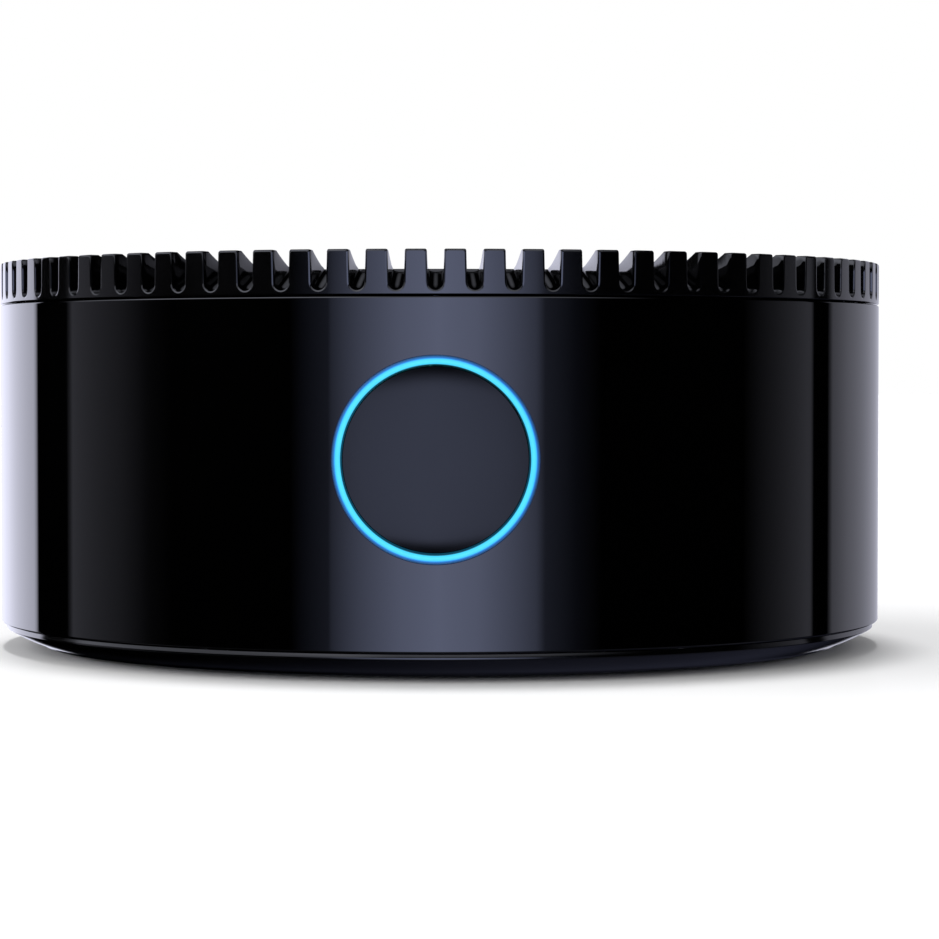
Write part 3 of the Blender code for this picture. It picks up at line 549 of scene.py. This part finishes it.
def make_base():
    """Tapered base with a rounded shoulder, a groove for the foot, and screw bosses inside."""
    low = BASE_LOW.z
    plate_top = low + 2.4 * MM
    shoulder = 2.7 * MM + low
    outer_r = OUTER_R - 0.65 * MM
    edge_r = 50.0 * MM
    lean, bow = math.radians(11.5), 0.9 * MM   # the shoulder leans in, above a slight curve
    curve_low = shoulder - 0.02 * MM - 0.3 * MM - bow * math.sin(lean)
    curve_in = bow * (1 - math.cos(lean))
    rounding = [(outer_r - curve_in - 0.3 * MM * math.tan(lean) - 0.02 * MM, shoulder),
                (outer_r - curve_in - 0.3 * MM * math.tan(lean), shoulder - 0.02 * MM),
                (outer_r - curve_in - 0.15 * MM * math.tan(lean), shoulder - 0.17 * MM)]
    rounding += [(outer_r - bow * (1 - math.cos(a)), curve_low + bow * math.sin(a))
                 for a in (lean * (1 - k / 5) for k in range(6))]
    taper_top = curve_low - 0.08 * MM
    rounding += [(outer_r, taper_top), (outer_r - 0.02 * MM, taper_top - 0.04 * MM)]
    taper = []
    steps = 12
    for k in range(steps + 1):
        t = k / steps
        swell = 0.10 * MM * math.sin(math.pi * t)
        radius = outer_r - 0.06 * MM - (outer_r - 0.06 * MM - edge_r - 0.3 * MM) * t + swell * 0.5
        taper.append((radius, taper_top - 0.07 * MM - (taper_top - 0.07 * MM - low - 0.22 * MM) * t - swell))
    groove_r = (FOOT_HIGH.x + 0.3 * MM, 40.7 * MM)
    profile = [(0, plate_top), (51.0 * MM, plate_top), (51.2 * MM, shoulder), *rounding, *taper,
               (edge_r + 0.1 * MM, low + 0.06 * MM), (edge_r, low), (groove_r[0], low),
               (groove_r[0], low + 0.9 * MM), (groove_r[1], low + 0.9 * MM),
               (groove_r[1], low), (0, low)]
    cage = bmesh.new()
    add_turned(cage, profile, SIDES, close=False)
    mesh = mesh_of(cage, "base_tray_fine")
    sinks = bmesh.new()
    sink_r, seat = 2.9 * MM, 3.2 * MM
    for i in range(1, 5):
        add_rod(sinks, sink_r, low - MM, plate_top + MM, 48, upright(f"base_screw_{i}"))
    mesh = cut(mesh, helper(sinks, "screw_sinks"))
    mesh.shade_smooth()
    mesh.set_sharp_from_angle(angle=math.radians(30))
    new_piece("base_tray_fine", mesh, BASE_GLOSS, "housing", "base_tray")

    bosses = bmesh.new()
    root = plate_top + 0.01 * MM       # where bosses and standoffs meet the plate
    for i in range(1, 5):
        add_turned(bosses, mm((1.4, 4.7), (3.9, 4.7), (4.2, 4.4)) + [
            (4.2 * MM, root), (sink_r, root), (sink_r, seat), (1.4 * MM, seat)],
            48, upright(f"base_screw_{i}"))
        add_turned(bosses, mm((0.9, 8.7), (2.4, 8.7), (2.6, 8.5)) + [
            (2.7 * MM, root), (0.9 * MM, root)], 28, upright(f"board_screw_{i}"))
    new_piece("base_bosses", mesh_of(bosses, "base_bosses"), INNER_BLACK, "housing",
              "base_tray")


def make_foot():
    """Rubber ring with rounded edges and two shallow grip grooves."""
    outer, inner, top = FOOT_HIGH.x, 41.0 * MM, FOOT_HIGH.z
    under = [(outer, 0.3 * MM), (outer - 0.09 * MM, 0.09 * MM), (outer - 0.3 * MM, 0)]
    for groove in (1 / 3, 2 / 3):
        r = outer + (inner - outer) * groove
        under += [(r + 0.4 * MM, 0), (r + 0.25 * MM, 0.25 * MM),
                  (r - 0.25 * MM, 0.25 * MM), (r - 0.4 * MM, 0)]
    under += [(inner + 0.3 * MM, 0), (inner + 0.09 * MM, 0.09 * MM), (inner, 0.3 * MM)]
    cage = bmesh.new()
    add_turned(cage, [(outer, top), *under, (inner, top)], 240)
    new_piece("foot_ring_fine", mesh_of(cage, "foot_ring_fine"), FOOT_RUBBER, "housing",
              "foot_ring")


# ---------------------------------------------------------------- button and light ring

def drum_face(x):
    """Y of the drum's outer face at x, on the front."""
    return -math.sqrt(OUTER_R ** 2 - x ** 2)


def make_light_ring():
    """Light guide: its lit face follows the drum, and its flange sits behind the wall."""
    sides = 256
    back, flange_front, flange_back = -47.1 * MM, -51.05 * MM, -50.1 * MM
    flange_r = 12.7 * MM
    face_steps = 8
    stations = [(RING_INNER_R, None, 0.14 * MM)]
    for k in range(face_steps + 1):
        t = k / face_steps
        radius = RING_INNER_R + (RING_OUTER_R - RING_INNER_R) * t
        stations.append((radius, None, 0.03 * MM + 0.08 * MM * (2 * t - 1) ** 4))
    stations += [(RING_OUTER_R, flange_front, 0), (flange_r, flange_front, 0),
                 (flange_r, flange_back, 0),
                 (RING_OUTER_R - 0.07 * MM, flange_back, 0), (RING_OUTER_R - 0.07 * MM, back, 0),
                 (RING_INNER_R, back, 0)]
    cage = bmesh.new()
    rows = []
    for radius, fixed_y, depth in stations:
        row = []
        for k in range(sides):
            angle = 2 * math.pi * k / sides
            x = radius * math.cos(angle)
            y = fixed_y if fixed_y is not None else drum_face(x) + depth
            row.append(cage.verts.new((x, y, BUTTON_Z + radius * math.sin(angle))))
        rows.append(row)
    rows.append(rows[0])
    for one, other in zip(rows, rows[1:]):
        for k in range(sides):
            after = (k + 1) % sides
            cage.faces.new((one[k], one[after], other[after], other[k]))
    new_piece("light_ring_fine", mesh_of(cage, "light_ring_fine"), GLOW, "housing",
              "light_ring")


def make_button():
    """Cap with a shallow dish and a fine rim, a skirt with a retaining bead, and a switch post."""
    face = -BUTTON_LOW.y
    dish = 0.55 * MM
    reach = BUTTON_R - 0.09 * MM
    steps = 36
    profile = [(reach * k / steps, face - dish + dish * (k / steps) ** 2.6) for k in range(steps + 1)]
    profile += [(BUTTON_R, face - 0.09 * MM)]
    back = face - 2.0 * MM
    profile += [(BUTTON_R, back + 0.1 * MM), (BUTTON_R - 0.1 * MM, back), (8.75 * MM, back),
                (8.75 * MM, back - 2.1 * MM), (9.2 * MM, back - 2.4 * MM), (9.3 * MM, back - 2.5 * MM),
                (9.3 * MM, back - 2.9 * MM), (9.2 * MM, back - 3.0 * MM),
                (7.8 * MM, back - 3.0 * MM), (7.8 * MM, back),
                (1.6 * MM, back), (1.6 * MM, 51.0 * MM), (1.5 * MM, 50.95 * MM), (0, 50.95 * MM)]
    cage = bmesh.new()
    add_turned(cage, profile, 192, on_button_axis(), close=False)
    new_piece("power_button_fine", mesh_of(cage, "power_button_fine"), BUTTON_SATIN, "power_button",
              "power_button")


# ---------------------------------------------------------------- sockets at the back

def make_rear_panel():
    """Recessed socket plate with its roof, floor and sides, rounded where they meet the drum's face."""
    thick = 1.5 * MM
    face_y = PANEL_LOW.y + thick
    half = PANEL_HIGH.x - 1.4 * MM
    low, high = PANEL_LOW.z + thick, PANEL_HIGH.z - thick
    block = bmesh.new()
    add_box(block, (PANEL_LOW.x, PANEL_LOW.y, PANEL_LOW.z), (PANEL_HIGH.x, 60 * MM, PANEL_HIGH.z))
    mesh = mesh_of(block, "rear_panel_fine")
    recess = bmesh.new()
    add_box(recess, (-half, face_y, low), (half, 62 * MM, high))
    along_y = [e for e in recess.edges if abs(e.verts[0].co.y - e.verts[1].co.y) > MM]
    bmesh.ops.bevel(recess, geom=along_y, offset=1.2 * MM, segments=5, profile=0.5, affect="EDGES")
    mesh = cut(mesh, helper(recess, "recess"))
    holes = bmesh.new()
    for node in ("hdmi_port", "ethernet_port", "usb_port", "power_jack"):
        node_low, node_high, _ = extent(node)
        add_box(holes, (node_low.x - 0.25 * MM, PANEL_LOW.y - MM, node_low.z - 0.25 * MM),
                (node_high.x + 0.25 * MM, face_y + MM, node_high.z + 0.25 * MM))
    _, _, reset = extent("reset_button")
    add_rod(holes, 1.6 * MM, 5 * MM, 0, 32, backward((reset.x, PANEL_LOW.y - 2 * MM, reset.z)))
    mesh = cut(mesh, helper(holes, "holes"))
    trim = bmesh.new()
    add_rod(trim, OUTER_R - 0.15 * MM, 40 * MM, 0)
    mesh = cut(mesh, helper(trim, "trim"), "INTERSECT")
    mesh = bevelled(mesh, 0.12 * MM)
    new_piece("rear_panel_fine", mesh, PANEL_MATT, "housing", "rear_panel")


def contacts(name, node, count, width, y_span, z, thick, spread, rise=0.0):
    """A row of gold-plated contacts inside a socket."""
    _, _, middle = extent(node)
    cage = bmesh.new()
    for k in range(count):
        x = middle.x + spread * (k / (count - 1) - 0.5)
        verts = add_box(cage, (x - width / 2, y_span[0], z), (x + width / 2, y_span[1], z + thick))
        for vert in verts:
            if vert.co.y > y_span[1] - 0.01 * MM:
                vert.co.z += rise
    bmesh.ops.bevel(cage, geom=list(cage.edges), offset=0.03 * MM, segments=1, affect="EDGES")
    new_piece(name, mesh_of(cage, name), GOLD, "housing", None)


def socket_shell(name, node, material, cutters, width=0.15 * MM):
    """A socket's fine mesh: a block cut by boxes or rods, with rounded edges."""
    low, high, _ = extent(node)
    block = bmesh.new()
    add_box(block, low, high)
    mesh = mesh_of(block, name)
    for cutter in cutters:
        mesh = cut(mesh, helper(cutter, "cutter"))
    mesh = bevelled(mesh, width)
    new_piece(name, mesh, material, "housing", node)


def boxes(*pairs):
    cage = bmesh.new()
    for low, high in pairs:
        add_box(cage, low, high)
    return cage


def make_sockets():
    """Display, network, USB and power sockets, each with its tongue, contacts or pin."""
    low, high, middle = extent("hdmi_port")
    mouth = high.y
    inner_w, inner_h = 7.0 * MM, 2.3 * MM
    throat = bmesh.new()
    corner = 1.6 * MM
    outline = [(-inner_w, inner_h), (inner_w, inner_h), (inner_w, -inner_h + corner * 0.6),
               (inner_w - corner, -inner_h), (-inner_w + corner, -inner_h),
               (-inner_w, -inner_h + corner * 0.6)]
    ends = [[throat.verts.new((middle.x + x, y, middle.z + z)) for x, z in outline]
            for y in (mouth - 8 * MM, mouth + MM)]
    for k in range(len(outline)):
        after = (k + 1) % len(outline)
        throat.faces.new((ends[0][k], ends[0][after], ends[1][after], ends[1][k]))
    throat.faces.new(ends[0])
    throat.faces.new(ends[1][::-1])
    socket_shell("hdmi_port_fine", "hdmi_port", PLATED, [throat])
    tongue = boxes(((middle.x - 5.6 * MM, mouth - 8.1 * MM, middle.z - 0.15 * MM),
                    (middle.x + 5.6 * MM, mouth - 1.0 * MM, middle.z + 0.75 * MM)))
    bmesh.ops.bevel(tongue, geom=list(tongue.edges), offset=0.12 * MM, segments=2, affect="EDGES")
    new_piece("hdmi_tongue", mesh_of(tongue, "hdmi_tongue"), SOCKET_BLACK, "housing",
              "hdmi_port")
    contacts("hdmi_contacts", "hdmi_port", 10, 0.35 * MM, (mouth - 7.9 * MM, mouth - 1.3 * MM),
             middle.z + 0.70 * MM, 0.12 * MM, 9.5 * MM)

    low, high, middle = extent("usb_port")
    throat = boxes(((middle.x - 6.2 * MM, mouth - 10 * MM, middle.z - 2.7 * MM),
                    (middle.x + 6.2 * MM, mouth + MM, middle.z + 2.7 * MM)))
    socket_shell("usb_port_fine", "usb_port", PLATED, [throat])
    tongue = boxes(((middle.x - 5.0 * MM, mouth - 10.1 * MM, middle.z),
                    (middle.x + 5.0 * MM, mouth - MM, middle.z + 1.8 * MM)))
    bmesh.ops.bevel(tongue, geom=list(tongue.edges), offset=0.2 * MM, segments=2, affect="EDGES")
    new_piece("usb_tongue", mesh_of(tongue, "usb_tongue"), SOCKET_BLACK, "housing",
              "usb_port")
    contacts("usb_contacts", "usb_port", 4, 1.0 * MM, (mouth - 9.8 * MM, mouth - 2.0 * MM),
             middle.z - 0.12 * MM, 0.14 * MM, 7.0 * MM)

    low, high, middle = extent("ethernet_port")
    throat = boxes(((middle.x - 5.9 * MM, mouth - 14 * MM, 14.3 * MM),
                    (middle.x + 5.9 * MM, mouth + MM, 22.3 * MM)))
    latch = boxes(((middle.x - 2 * MM, mouth - 9 * MM, 12.3 * MM),
                   (middle.x + 2 * MM, mouth + MM, 15 * MM)))
    step = boxes(((middle.x - 3.2 * MM, mouth - 9 * MM, 13.3 * MM),
                  (middle.x + 3.2 * MM, mouth + MM, 15 * MM)))
    socket_shell("ethernet_port_fine", "ethernet_port", PLATED,
                 [throat, latch, step])
    contacts("ethernet_contacts", "ethernet_port", 8, 0.45 * MM,
             (mouth - 13.5 * MM, mouth - 6 * MM), 20.2 * MM, 0.15 * MM, 7.2 * MM, 1.7 * MM)

    low, high, middle = extent("power_jack")
    bore = bmesh.new()
    along_y = backward((middle.x, mouth, middle.z))
    add_turned(bore, mm((0, 1), (3.45, 1), (3.45, 0), (3.1, -0.35), (3.1, -9.5), (0, -9.5)),
               64, along_y, close=False)
    socket_shell("power_jack_fine", "power_jack", SOCKET_BLACK, [bore], 0.25 * MM)
    pin = bmesh.new()
    add_turned(pin, mm((0, -1), (0.7, -1.05), (1.0, -1.4), (1.05, -1.8), (1.05, -9.6), (0, -9.6)),
               32, along_y, close=False)
    new_piece("power_pin", mesh_of(pin, "power_pin"), PLATED, "housing",
              "power_jack")


def make_reset_cap():
    low, high, middle = extent("reset_button")
    cage = bmesh.new()
    place = backward((middle.x, 0, middle.z))
    tip = high.y
    add_turned(cage, [(0, tip - 0.12 * MM), (0.7 * MM, tip - 0.06 * MM), (1.0 * MM, tip),
                      (1.2 * MM, tip - 0.03 * MM),
                      (1.32 * MM, tip - 0.12 * MM), (1.35 * MM, tip - 0.3 * MM), (1.35 * MM, tip - 2.2 * MM),
                      (2.1 * MM, tip - 2.2 * MM), (2.1 * MM, low.y + 1.1 * MM), (0.8 * MM, low.y + 1.1 * MM),
                      (0.8 * MM, low.y), (0, low.y)], 48, place, close=False)
    new_piece("reset_button_fine", mesh_of(cage, "reset_button_fine"), GREY_PLASTIC, "reset_button",
              "reset_button")


# ---------------------------------------------------------------- inner parts

def dress_inner_parts():
    """Give every CAD node that stays its own procedural finish."""
    board = circuit_board("board_lacquer", (0.008, 0.075, 0.04))
    radio = circuit_board("radio_lacquer", (0.008, 0.022, 0.08))
    epoxy = chip_moulding("chip_epoxy")
    steel = metal("screw_steel", (0.55, 0.55, 0.57), 0.3, (1, 1, 8))
    tin = metal("shield_tin", (0.62, 0.62, 0.63), 0.28, (1, 12, 1))
    cast = metal("cast_aluminium", (0.62, 0.63, 0.65), 0.42, (1, 1, 1), 4000, 0.01 * MM)
    pad = plastic("silicone_pad", (0.30, 0.36, 0.45), 0.75, 0.05, 0.015 * MM, 4000)
    white = plastic("white_moulding", (0.72, 0.72, 0.70), 0.45, 0.05, 0.004 * MM)
    led = plastic("led_lens", (0.80, 0.78, 0.55), 0.2, 0.05)
    film = plastic("cable_film", (0.62, 0.58, 0.48), 0.35, 0.05)
    foil = plastic("antenna_film", (0.42, 0.22, 0.07), 0.35, 0.06)
    jacket = plastic("coax_jacket", (0.02, 0.02, 0.021), 0.45, 0.05, 0.004 * MM)
    red = plastic("plunger_red", (0.42, 0.05, 0.04), 0.45, 0.05)
    ivory = plastic("socket_ivory", (0.70, 0.66, 0.54), 0.5, 0.05)
    ferrite = chip_moulding("ferrite", (0.06, 0.06, 0.065))
    can = metal("capacitor_can", (0.45, 0.46, 0.55), 0.3, (1, 1, 10))
    tinted = plastic("tinted_lens", (0.02, 0.006, 0.012), 0.12, 0.03)
    table = {
        "mainboard": board, "led_board": board, "wifi_board": radio, "processor": epoxy,
        "memory_chip_1": epoxy, "memory_chip_2": epoxy, "flash_chip": epoxy, "power_chip": epoxy,
        "power_inductor": ferrite, "capacitor": can, "infrared_receiver": tinted, "wifi_shield": tin,
        "thermal_pad": pad, "lid_pad": pad, "heat_column": cast, "button_sleeve": white,
        "light_carrier": white, "button_switch": epoxy, "reset_switch": epoxy, "switch_plunger": red,
        "reset_plunger": ivory, "ribbon_cable": film, "ribbon_socket": ivory, "antenna_1": foil,
        "antenna_2": foil, "antenna_cable_1": jacket, "antenna_cable_2": jacket,
    }
    for name, thing in nodes.items():
        finish = table.get(name) or (steel if "screw" in name else led if name.startswith("led_") else None)
        if finish:
            thing.data.materials.clear()
            thing.data.materials.append(finish)


# ---------------------------------------------------------------- studio

def make_floor():
    """Large pale floor with a soft, faint sheen."""
    mesh = bpy.data.meshes.new("floor")
    cage = bmesh.new()
    bmesh.ops.create_grid(cage, x_segments=8, y_segments=8, size=6.0)
    cage.to_mesh(mesh)
    cage.free()
    floor = bpy.data.objects.new("floor", mesh)
    bpy.context.scene.collection.objects.link(floor)
    made = Nodes("floor_paint")
    made.join(made.ramp(made.noise(3, 2), [(0.3, (0.90, 0.90, 0.905)), (0.7, (0.92, 0.92, 0.925))]),
              made.shader.inputs["Base Color"])
    made.set(Roughness=0.6, Specular_IOR_Level=0.0)
    sheen = made.add("ShaderNodeBsdfGlossy")
    sheen.inputs["Roughness"].default_value = 0.12
    mixed = made.add("ShaderNodeMixShader")
    mixed.inputs["Fac"].default_value = 0.05
    made.join(made.shader.outputs["BSDF"], mixed.inputs[1])
    made.join(sheen.outputs["BSDF"], mixed.inputs[2])
    made.join(mixed.outputs["Shader"], made.tree.nodes["Material Output"].inputs["Surface"])
    mesh.materials.append(made.material)
    floor.visible_glossy = False


def make_world():
    """Studio surround. What the camera sees and what lights matt surfaces is an even white. Glossy
    surfaces see a dark room with a tall soft light in front, a dim panel at each side, and a pale
    backdrop behind the object."""
    world = bpy.data.worlds.new("studio")
    world.use_nodes = True
    bpy.context.scene.world = world
    tree = world.node_tree
    tree.nodes.clear()

    def add(kind, **settings):
        made = tree.nodes.new(kind)
        for key, value in settings.items():
            setattr(made, key, value)
        return made

    def math_node(operation, *inputs):
        made = add("ShaderNodeMath", operation=operation)
        for socket, value in zip(made.inputs, inputs):
            if isinstance(value, (int, float)):
                socket.default_value = value
            else:
                tree.links.new(value, socket)
        return made.outputs["Value"]

    def smooth(value, start, end):
        made = add("ShaderNodeMapRange", interpolation_type="SMOOTHSTEP")
        made.inputs["From Min"].default_value = start
        made.inputs["From Max"].default_value = end
        tree.links.new(value, made.inputs["Value"])
        return made.outputs["Result"]

    direction = add("ShaderNodeTexCoord").outputs["Generated"]
    split = add("ShaderNodeSeparateXYZ")
    tree.links.new(direction, split.inputs["Vector"])
    x, y, z = (split.outputs[axis] for axis in "XYZ")
    azimuth = math_node("DEGREES", math_node("ARCTAN2", x, math_node("MULTIPLY", y, -1.0)))
    elevation = math_node("DEGREES", math_node("ARCSINE", z))

    def by_azimuth(stops, width):
        """Brightness read from (degrees, brightness) stops across a width of azimuths."""
        scale = add("ShaderNodeValToRGB")
        peak = max(value for _, value in stops)
        while len(scale.color_ramp.elements) < len(stops):
            scale.color_ramp.elements.new(0.5)
        for element, (degrees, value) in zip(scale.color_ramp.elements, stops):
            element.position = degrees / width + 0.5
            element.color = (value / peak,) * 3 + (1.0,)
        tree.links.new(math_node("ADD", math_node("DIVIDE", azimuth, width), 0.5), scale.inputs["Fac"])
        return math_node("MULTIPLY", scale.outputs["Color"], peak)

    # Front light by azimuth: brightest in the middle, with a straight edge at each side
    away = math_node("ABSOLUTE", azimuth)
    front = by_azimuth(FRONT_LIGHT, 100.0)
    rise = math_node("MULTIPLY", smooth(elevation, -15.5, -10.8), smooth(elevation, 11.4, 9.9))
    near_floor = math_node("MULTIPLY", front, 0.5)
    front = math_node("MULTIPLY", math_node("MULTIPLY", front, rise), FRONT_POWER)
    strip = math_node("MULTIPLY", smooth(elevation, 15, 19), smooth(elevation, 38, 30))
    strip = math_node("MULTIPLY", math_node("MULTIPLY", strip, STRIP_POWER),
                      math_node("MULTIPLY", smooth(azimuth, -105, -80), smooth(azimuth, 62, 25)))
    upper = math_node("MULTIPLY", smooth(elevation, 3.5, 6), smooth(elevation, 72, 55))
    to_the_left = math_node("MULTIPLY", smooth(azimuth, -116, -100), smooth(azimuth, -8, -28))
    upper = math_node("MULTIPLY", upper, to_the_left)
    strip = math_node("ADD", strip, upper)

    # Side panels and backdrop, by azimuth from the front, in degrees: (azimuth, brightness)
    side = by_azimuth(SIDE_LIGHTS, 360.0)
    to_the_right = math_node("MULTIPLY", smooth(x, -0.25, 0.1), 0.05)
    low_floor = math_node("MULTIPLY", smooth(elevation, -10, -30), to_the_right)
    # Pale floor, seen in the wall from above only
    band = math_node("MULTIPLY", smooth(elevation, -18, -24), smooth(elevation, -47, -38))
    near_floor = math_node("ADD", math_node("ADD", near_floor, math_node("MULTIPLY", side, 0.35)), 0.12)
    near_floor = math_node("MULTIPLY", near_floor, math_node("MULTIPLY", band, smooth(away, 120, 95)))
    ceiling = math_node("ADD", math_node("MULTIPLY", smooth(elevation, 44, 56), 0.5),
                        math_node("MULTIPLY", smooth(elevation, 60, 78), 0.4))
    level = smooth(away, 60, 70)
    side = math_node("MULTIPLY", math_node("MULTIPLY", side, level),
                     math_node("MULTIPLY", smooth(elevation, -13, -9), smooth(elevation, 20, 9)))

    def background(strength, colour):
        made = add("ShaderNodeBackground")
        made.inputs["Color"].default_value = (*colour, 1.0)
        if isinstance(strength, (int, float)):
            made.inputs["Strength"].default_value = strength
        else:
            tree.links.new(strength, made.inputs["Strength"])
        return made.outputs["Background"]

    def sum_of(one, other):
        made = add("ShaderNodeAddShader")
        tree.links.new(one, made.inputs[0])
        tree.links.new(other, made.inputs[1])
        return made.outputs["Shader"]

    glossy = sum_of(background(front, (0.93, 1.04, 1.58)), background(side, (0.96, 0.97, 1.16)))
    glossy = sum_of(glossy, background(math_node("ADD", strip, ceiling), (0.92, 0.95, 1.1)))
    glossy = sum_of(glossy, background(low_floor, (0.75, 0.8, 1.3)))
    glossy = sum_of(glossy, background(near_floor, (0.92, 0.95, 1.1)))

    def choose(factor, off, on):
        made = add("ShaderNodeMixShader")
        tree.links.new(factor, made.inputs["Fac"])
        tree.links.new(off, made.inputs[1])
        tree.links.new(on, made.inputs[2])
        return made.outputs["Shader"]

    path = add("ShaderNodeLightPath")
    matt = math_node("MULTIPLY", smooth(elevation, 10, 45), TOP_LIGHT)
    matt = math_node("ADD", matt, math_node("MULTIPLY", smooth(x, -0.45, -0.95), LEFT_LIGHT))
    matt = math_node("ADD", matt, math_node("MULTIPLY", smooth(x, 0.45, 0.95), RIGHT_LIGHT))
    even = background(matt, (1.0, 1.0, 1.0))
    seen = background(1.0, (1.0, 1.0, 1.0))
    shader = choose(path.outputs["Is Glossy Ray"], even, glossy)
    shader = choose(path.outputs["Is Camera Ray"], shader, seen)
    tree.links.new(shader, add("ShaderNodeOutputWorld").inputs["Surface"])


FRONT_POWER = 2.44
STRIP_POWER = 1.5
TOP_LIGHT = 0.45
LEFT_LIGHT = 3.2
RIGHT_LIGHT = 0.8
FRONT_LIGHT = [                   # (azimuth, brightness)
    (-37, 0.0), (-27.3, 0.075), (-26.5, 0.16), (-25.5, 0.20), (-23, 0.30), (-19.5, 0.44),
    (-9.5, 0.80), (0, 1.0),
    (9.5, 0.85), (19, 0.50), (24.3, 0.30), (26.5, 0.095), (34.5, 0.026), (41, 0.0)]
SIDE_LIGHTS = [
    (-180, 0.65), (-170, 1.0), (-160, 1.6), (-150, 2.05), (-127, 2.35), (-125.6, 0.0),
    (-109, 0.0), (-107, 0.33),
    (-88, 0.165), (-78, 0.03), (-71, 0.0), (83, 0.0), (95, 0.14), (109.5, 0.34), (111, 0.0),
    (119, 0.0), (120.3, 0.38), (130, 0.54), (150, 0.62), (180, 0.65)]


def make_lamp():
    """Wide overhead lamp, a little behind and to the left, not seen in reflections."""
    lamp = bpy.data.objects.new("overhead", bpy.data.lights.new("overhead", "SUN"))
    lamp.data.energy = LAMP_POWER
    lamp.data.angle = math.radians(13)
    lamp.rotation_euler = Vector(LAMP_FROM).to_track_quat("Z", "Y").to_euler()
    lamp.visible_glossy = False
    bpy.context.scene.collection.objects.link(lamp)


LAMP_POWER = 1.7
LAMP_FROM = (-0.03, 0.16, 1.0)


def make_camera():
    """Level with the lower wall, a little to the right of the drum's axis, looking slightly down."""
    lens = 118.2
    distance = 7.1 * OUTER_R
    camera = bpy.data.objects.new("camera", bpy.data.cameras.new("camera"))
    camera.data.lens = lens
    camera.data.sensor_width = 36.0
    camera.data.clip_start = 0.01
    camera.data.clip_end = 50.0
    camera.location = (0.0672 * OUTER_R, -distance, 0.606 * OUTER_R)
    camera.rotation_euler = (math.radians(90 - 1.70), 0, 0)
    bpy.context.scene.collection.objects.link(camera)
    bpy.context.scene.camera = camera


GLOSS = plastic("wall_gloss", (0.0002, 0.0002, 0.00025), 0.03, 0.01, change=0.1)
INNER_BLACK = plastic("inner_black", (0.012, 0.012, 0.013), 0.5, 0.05, 0.004 * MM)
CROWN_GLOSS = plastic("crown_gloss", (0.0008, 0.0008, 0.001), 0.075, 0.02, 0.0004 * MM, 6000, 0.15)
LID_SATIN = plastic("lid_satin", (0.006, 0.006, 0.007), 0.28, 0.005, 0.003 * MM, 8000)
BASE_GLOSS = plastic("base_gloss", (0.0008, 0.0008, 0.001), 0.08, 0.02)
FOOT_RUBBER = rubber("foot_rubber")
GLOW = glowing("ring_glow")
BUTTON_SATIN = plastic("button_satin", (0.0008, 0.0008, 0.001), 0.09, 0.015, 0.0003 * MM, 9000, 0.1, 0.195)
PANEL_MATT = plastic("panel_matt", (0.014, 0.014, 0.015), 0.5, 0.06, 0.012 * MM, 4500, 0.2)
SOCKET_BLACK = plastic("socket_black", (0.012, 0.012, 0.013), 0.4, 0.05, 0.003 * MM)
GREY_PLASTIC = plastic("reset_grey", (0.16, 0.16, 0.17), 0.45, 0.05, 0.004 * MM)
PLATED = metal("tin_plate", (0.60, 0.60, 0.61), 0.26, (1, 10, 1))
GOLD = metal("gold_plate", (0.85, 0.58, 0.22), 0.2, (1, 8, 1))

bpy.context.scene.view_settings.view_transform = "Standard"
bpy.context.scene.view_settings.look = "None"

make_body_shell()
make_crown()
make_lid()
make_base()
make_foot()
make_light_ring()
make_button()
make_rear_panel()
make_sockets()
make_reset_cap()
dress_inner_parts()
make_floor()
make_world()
make_lamp()
make_camera()
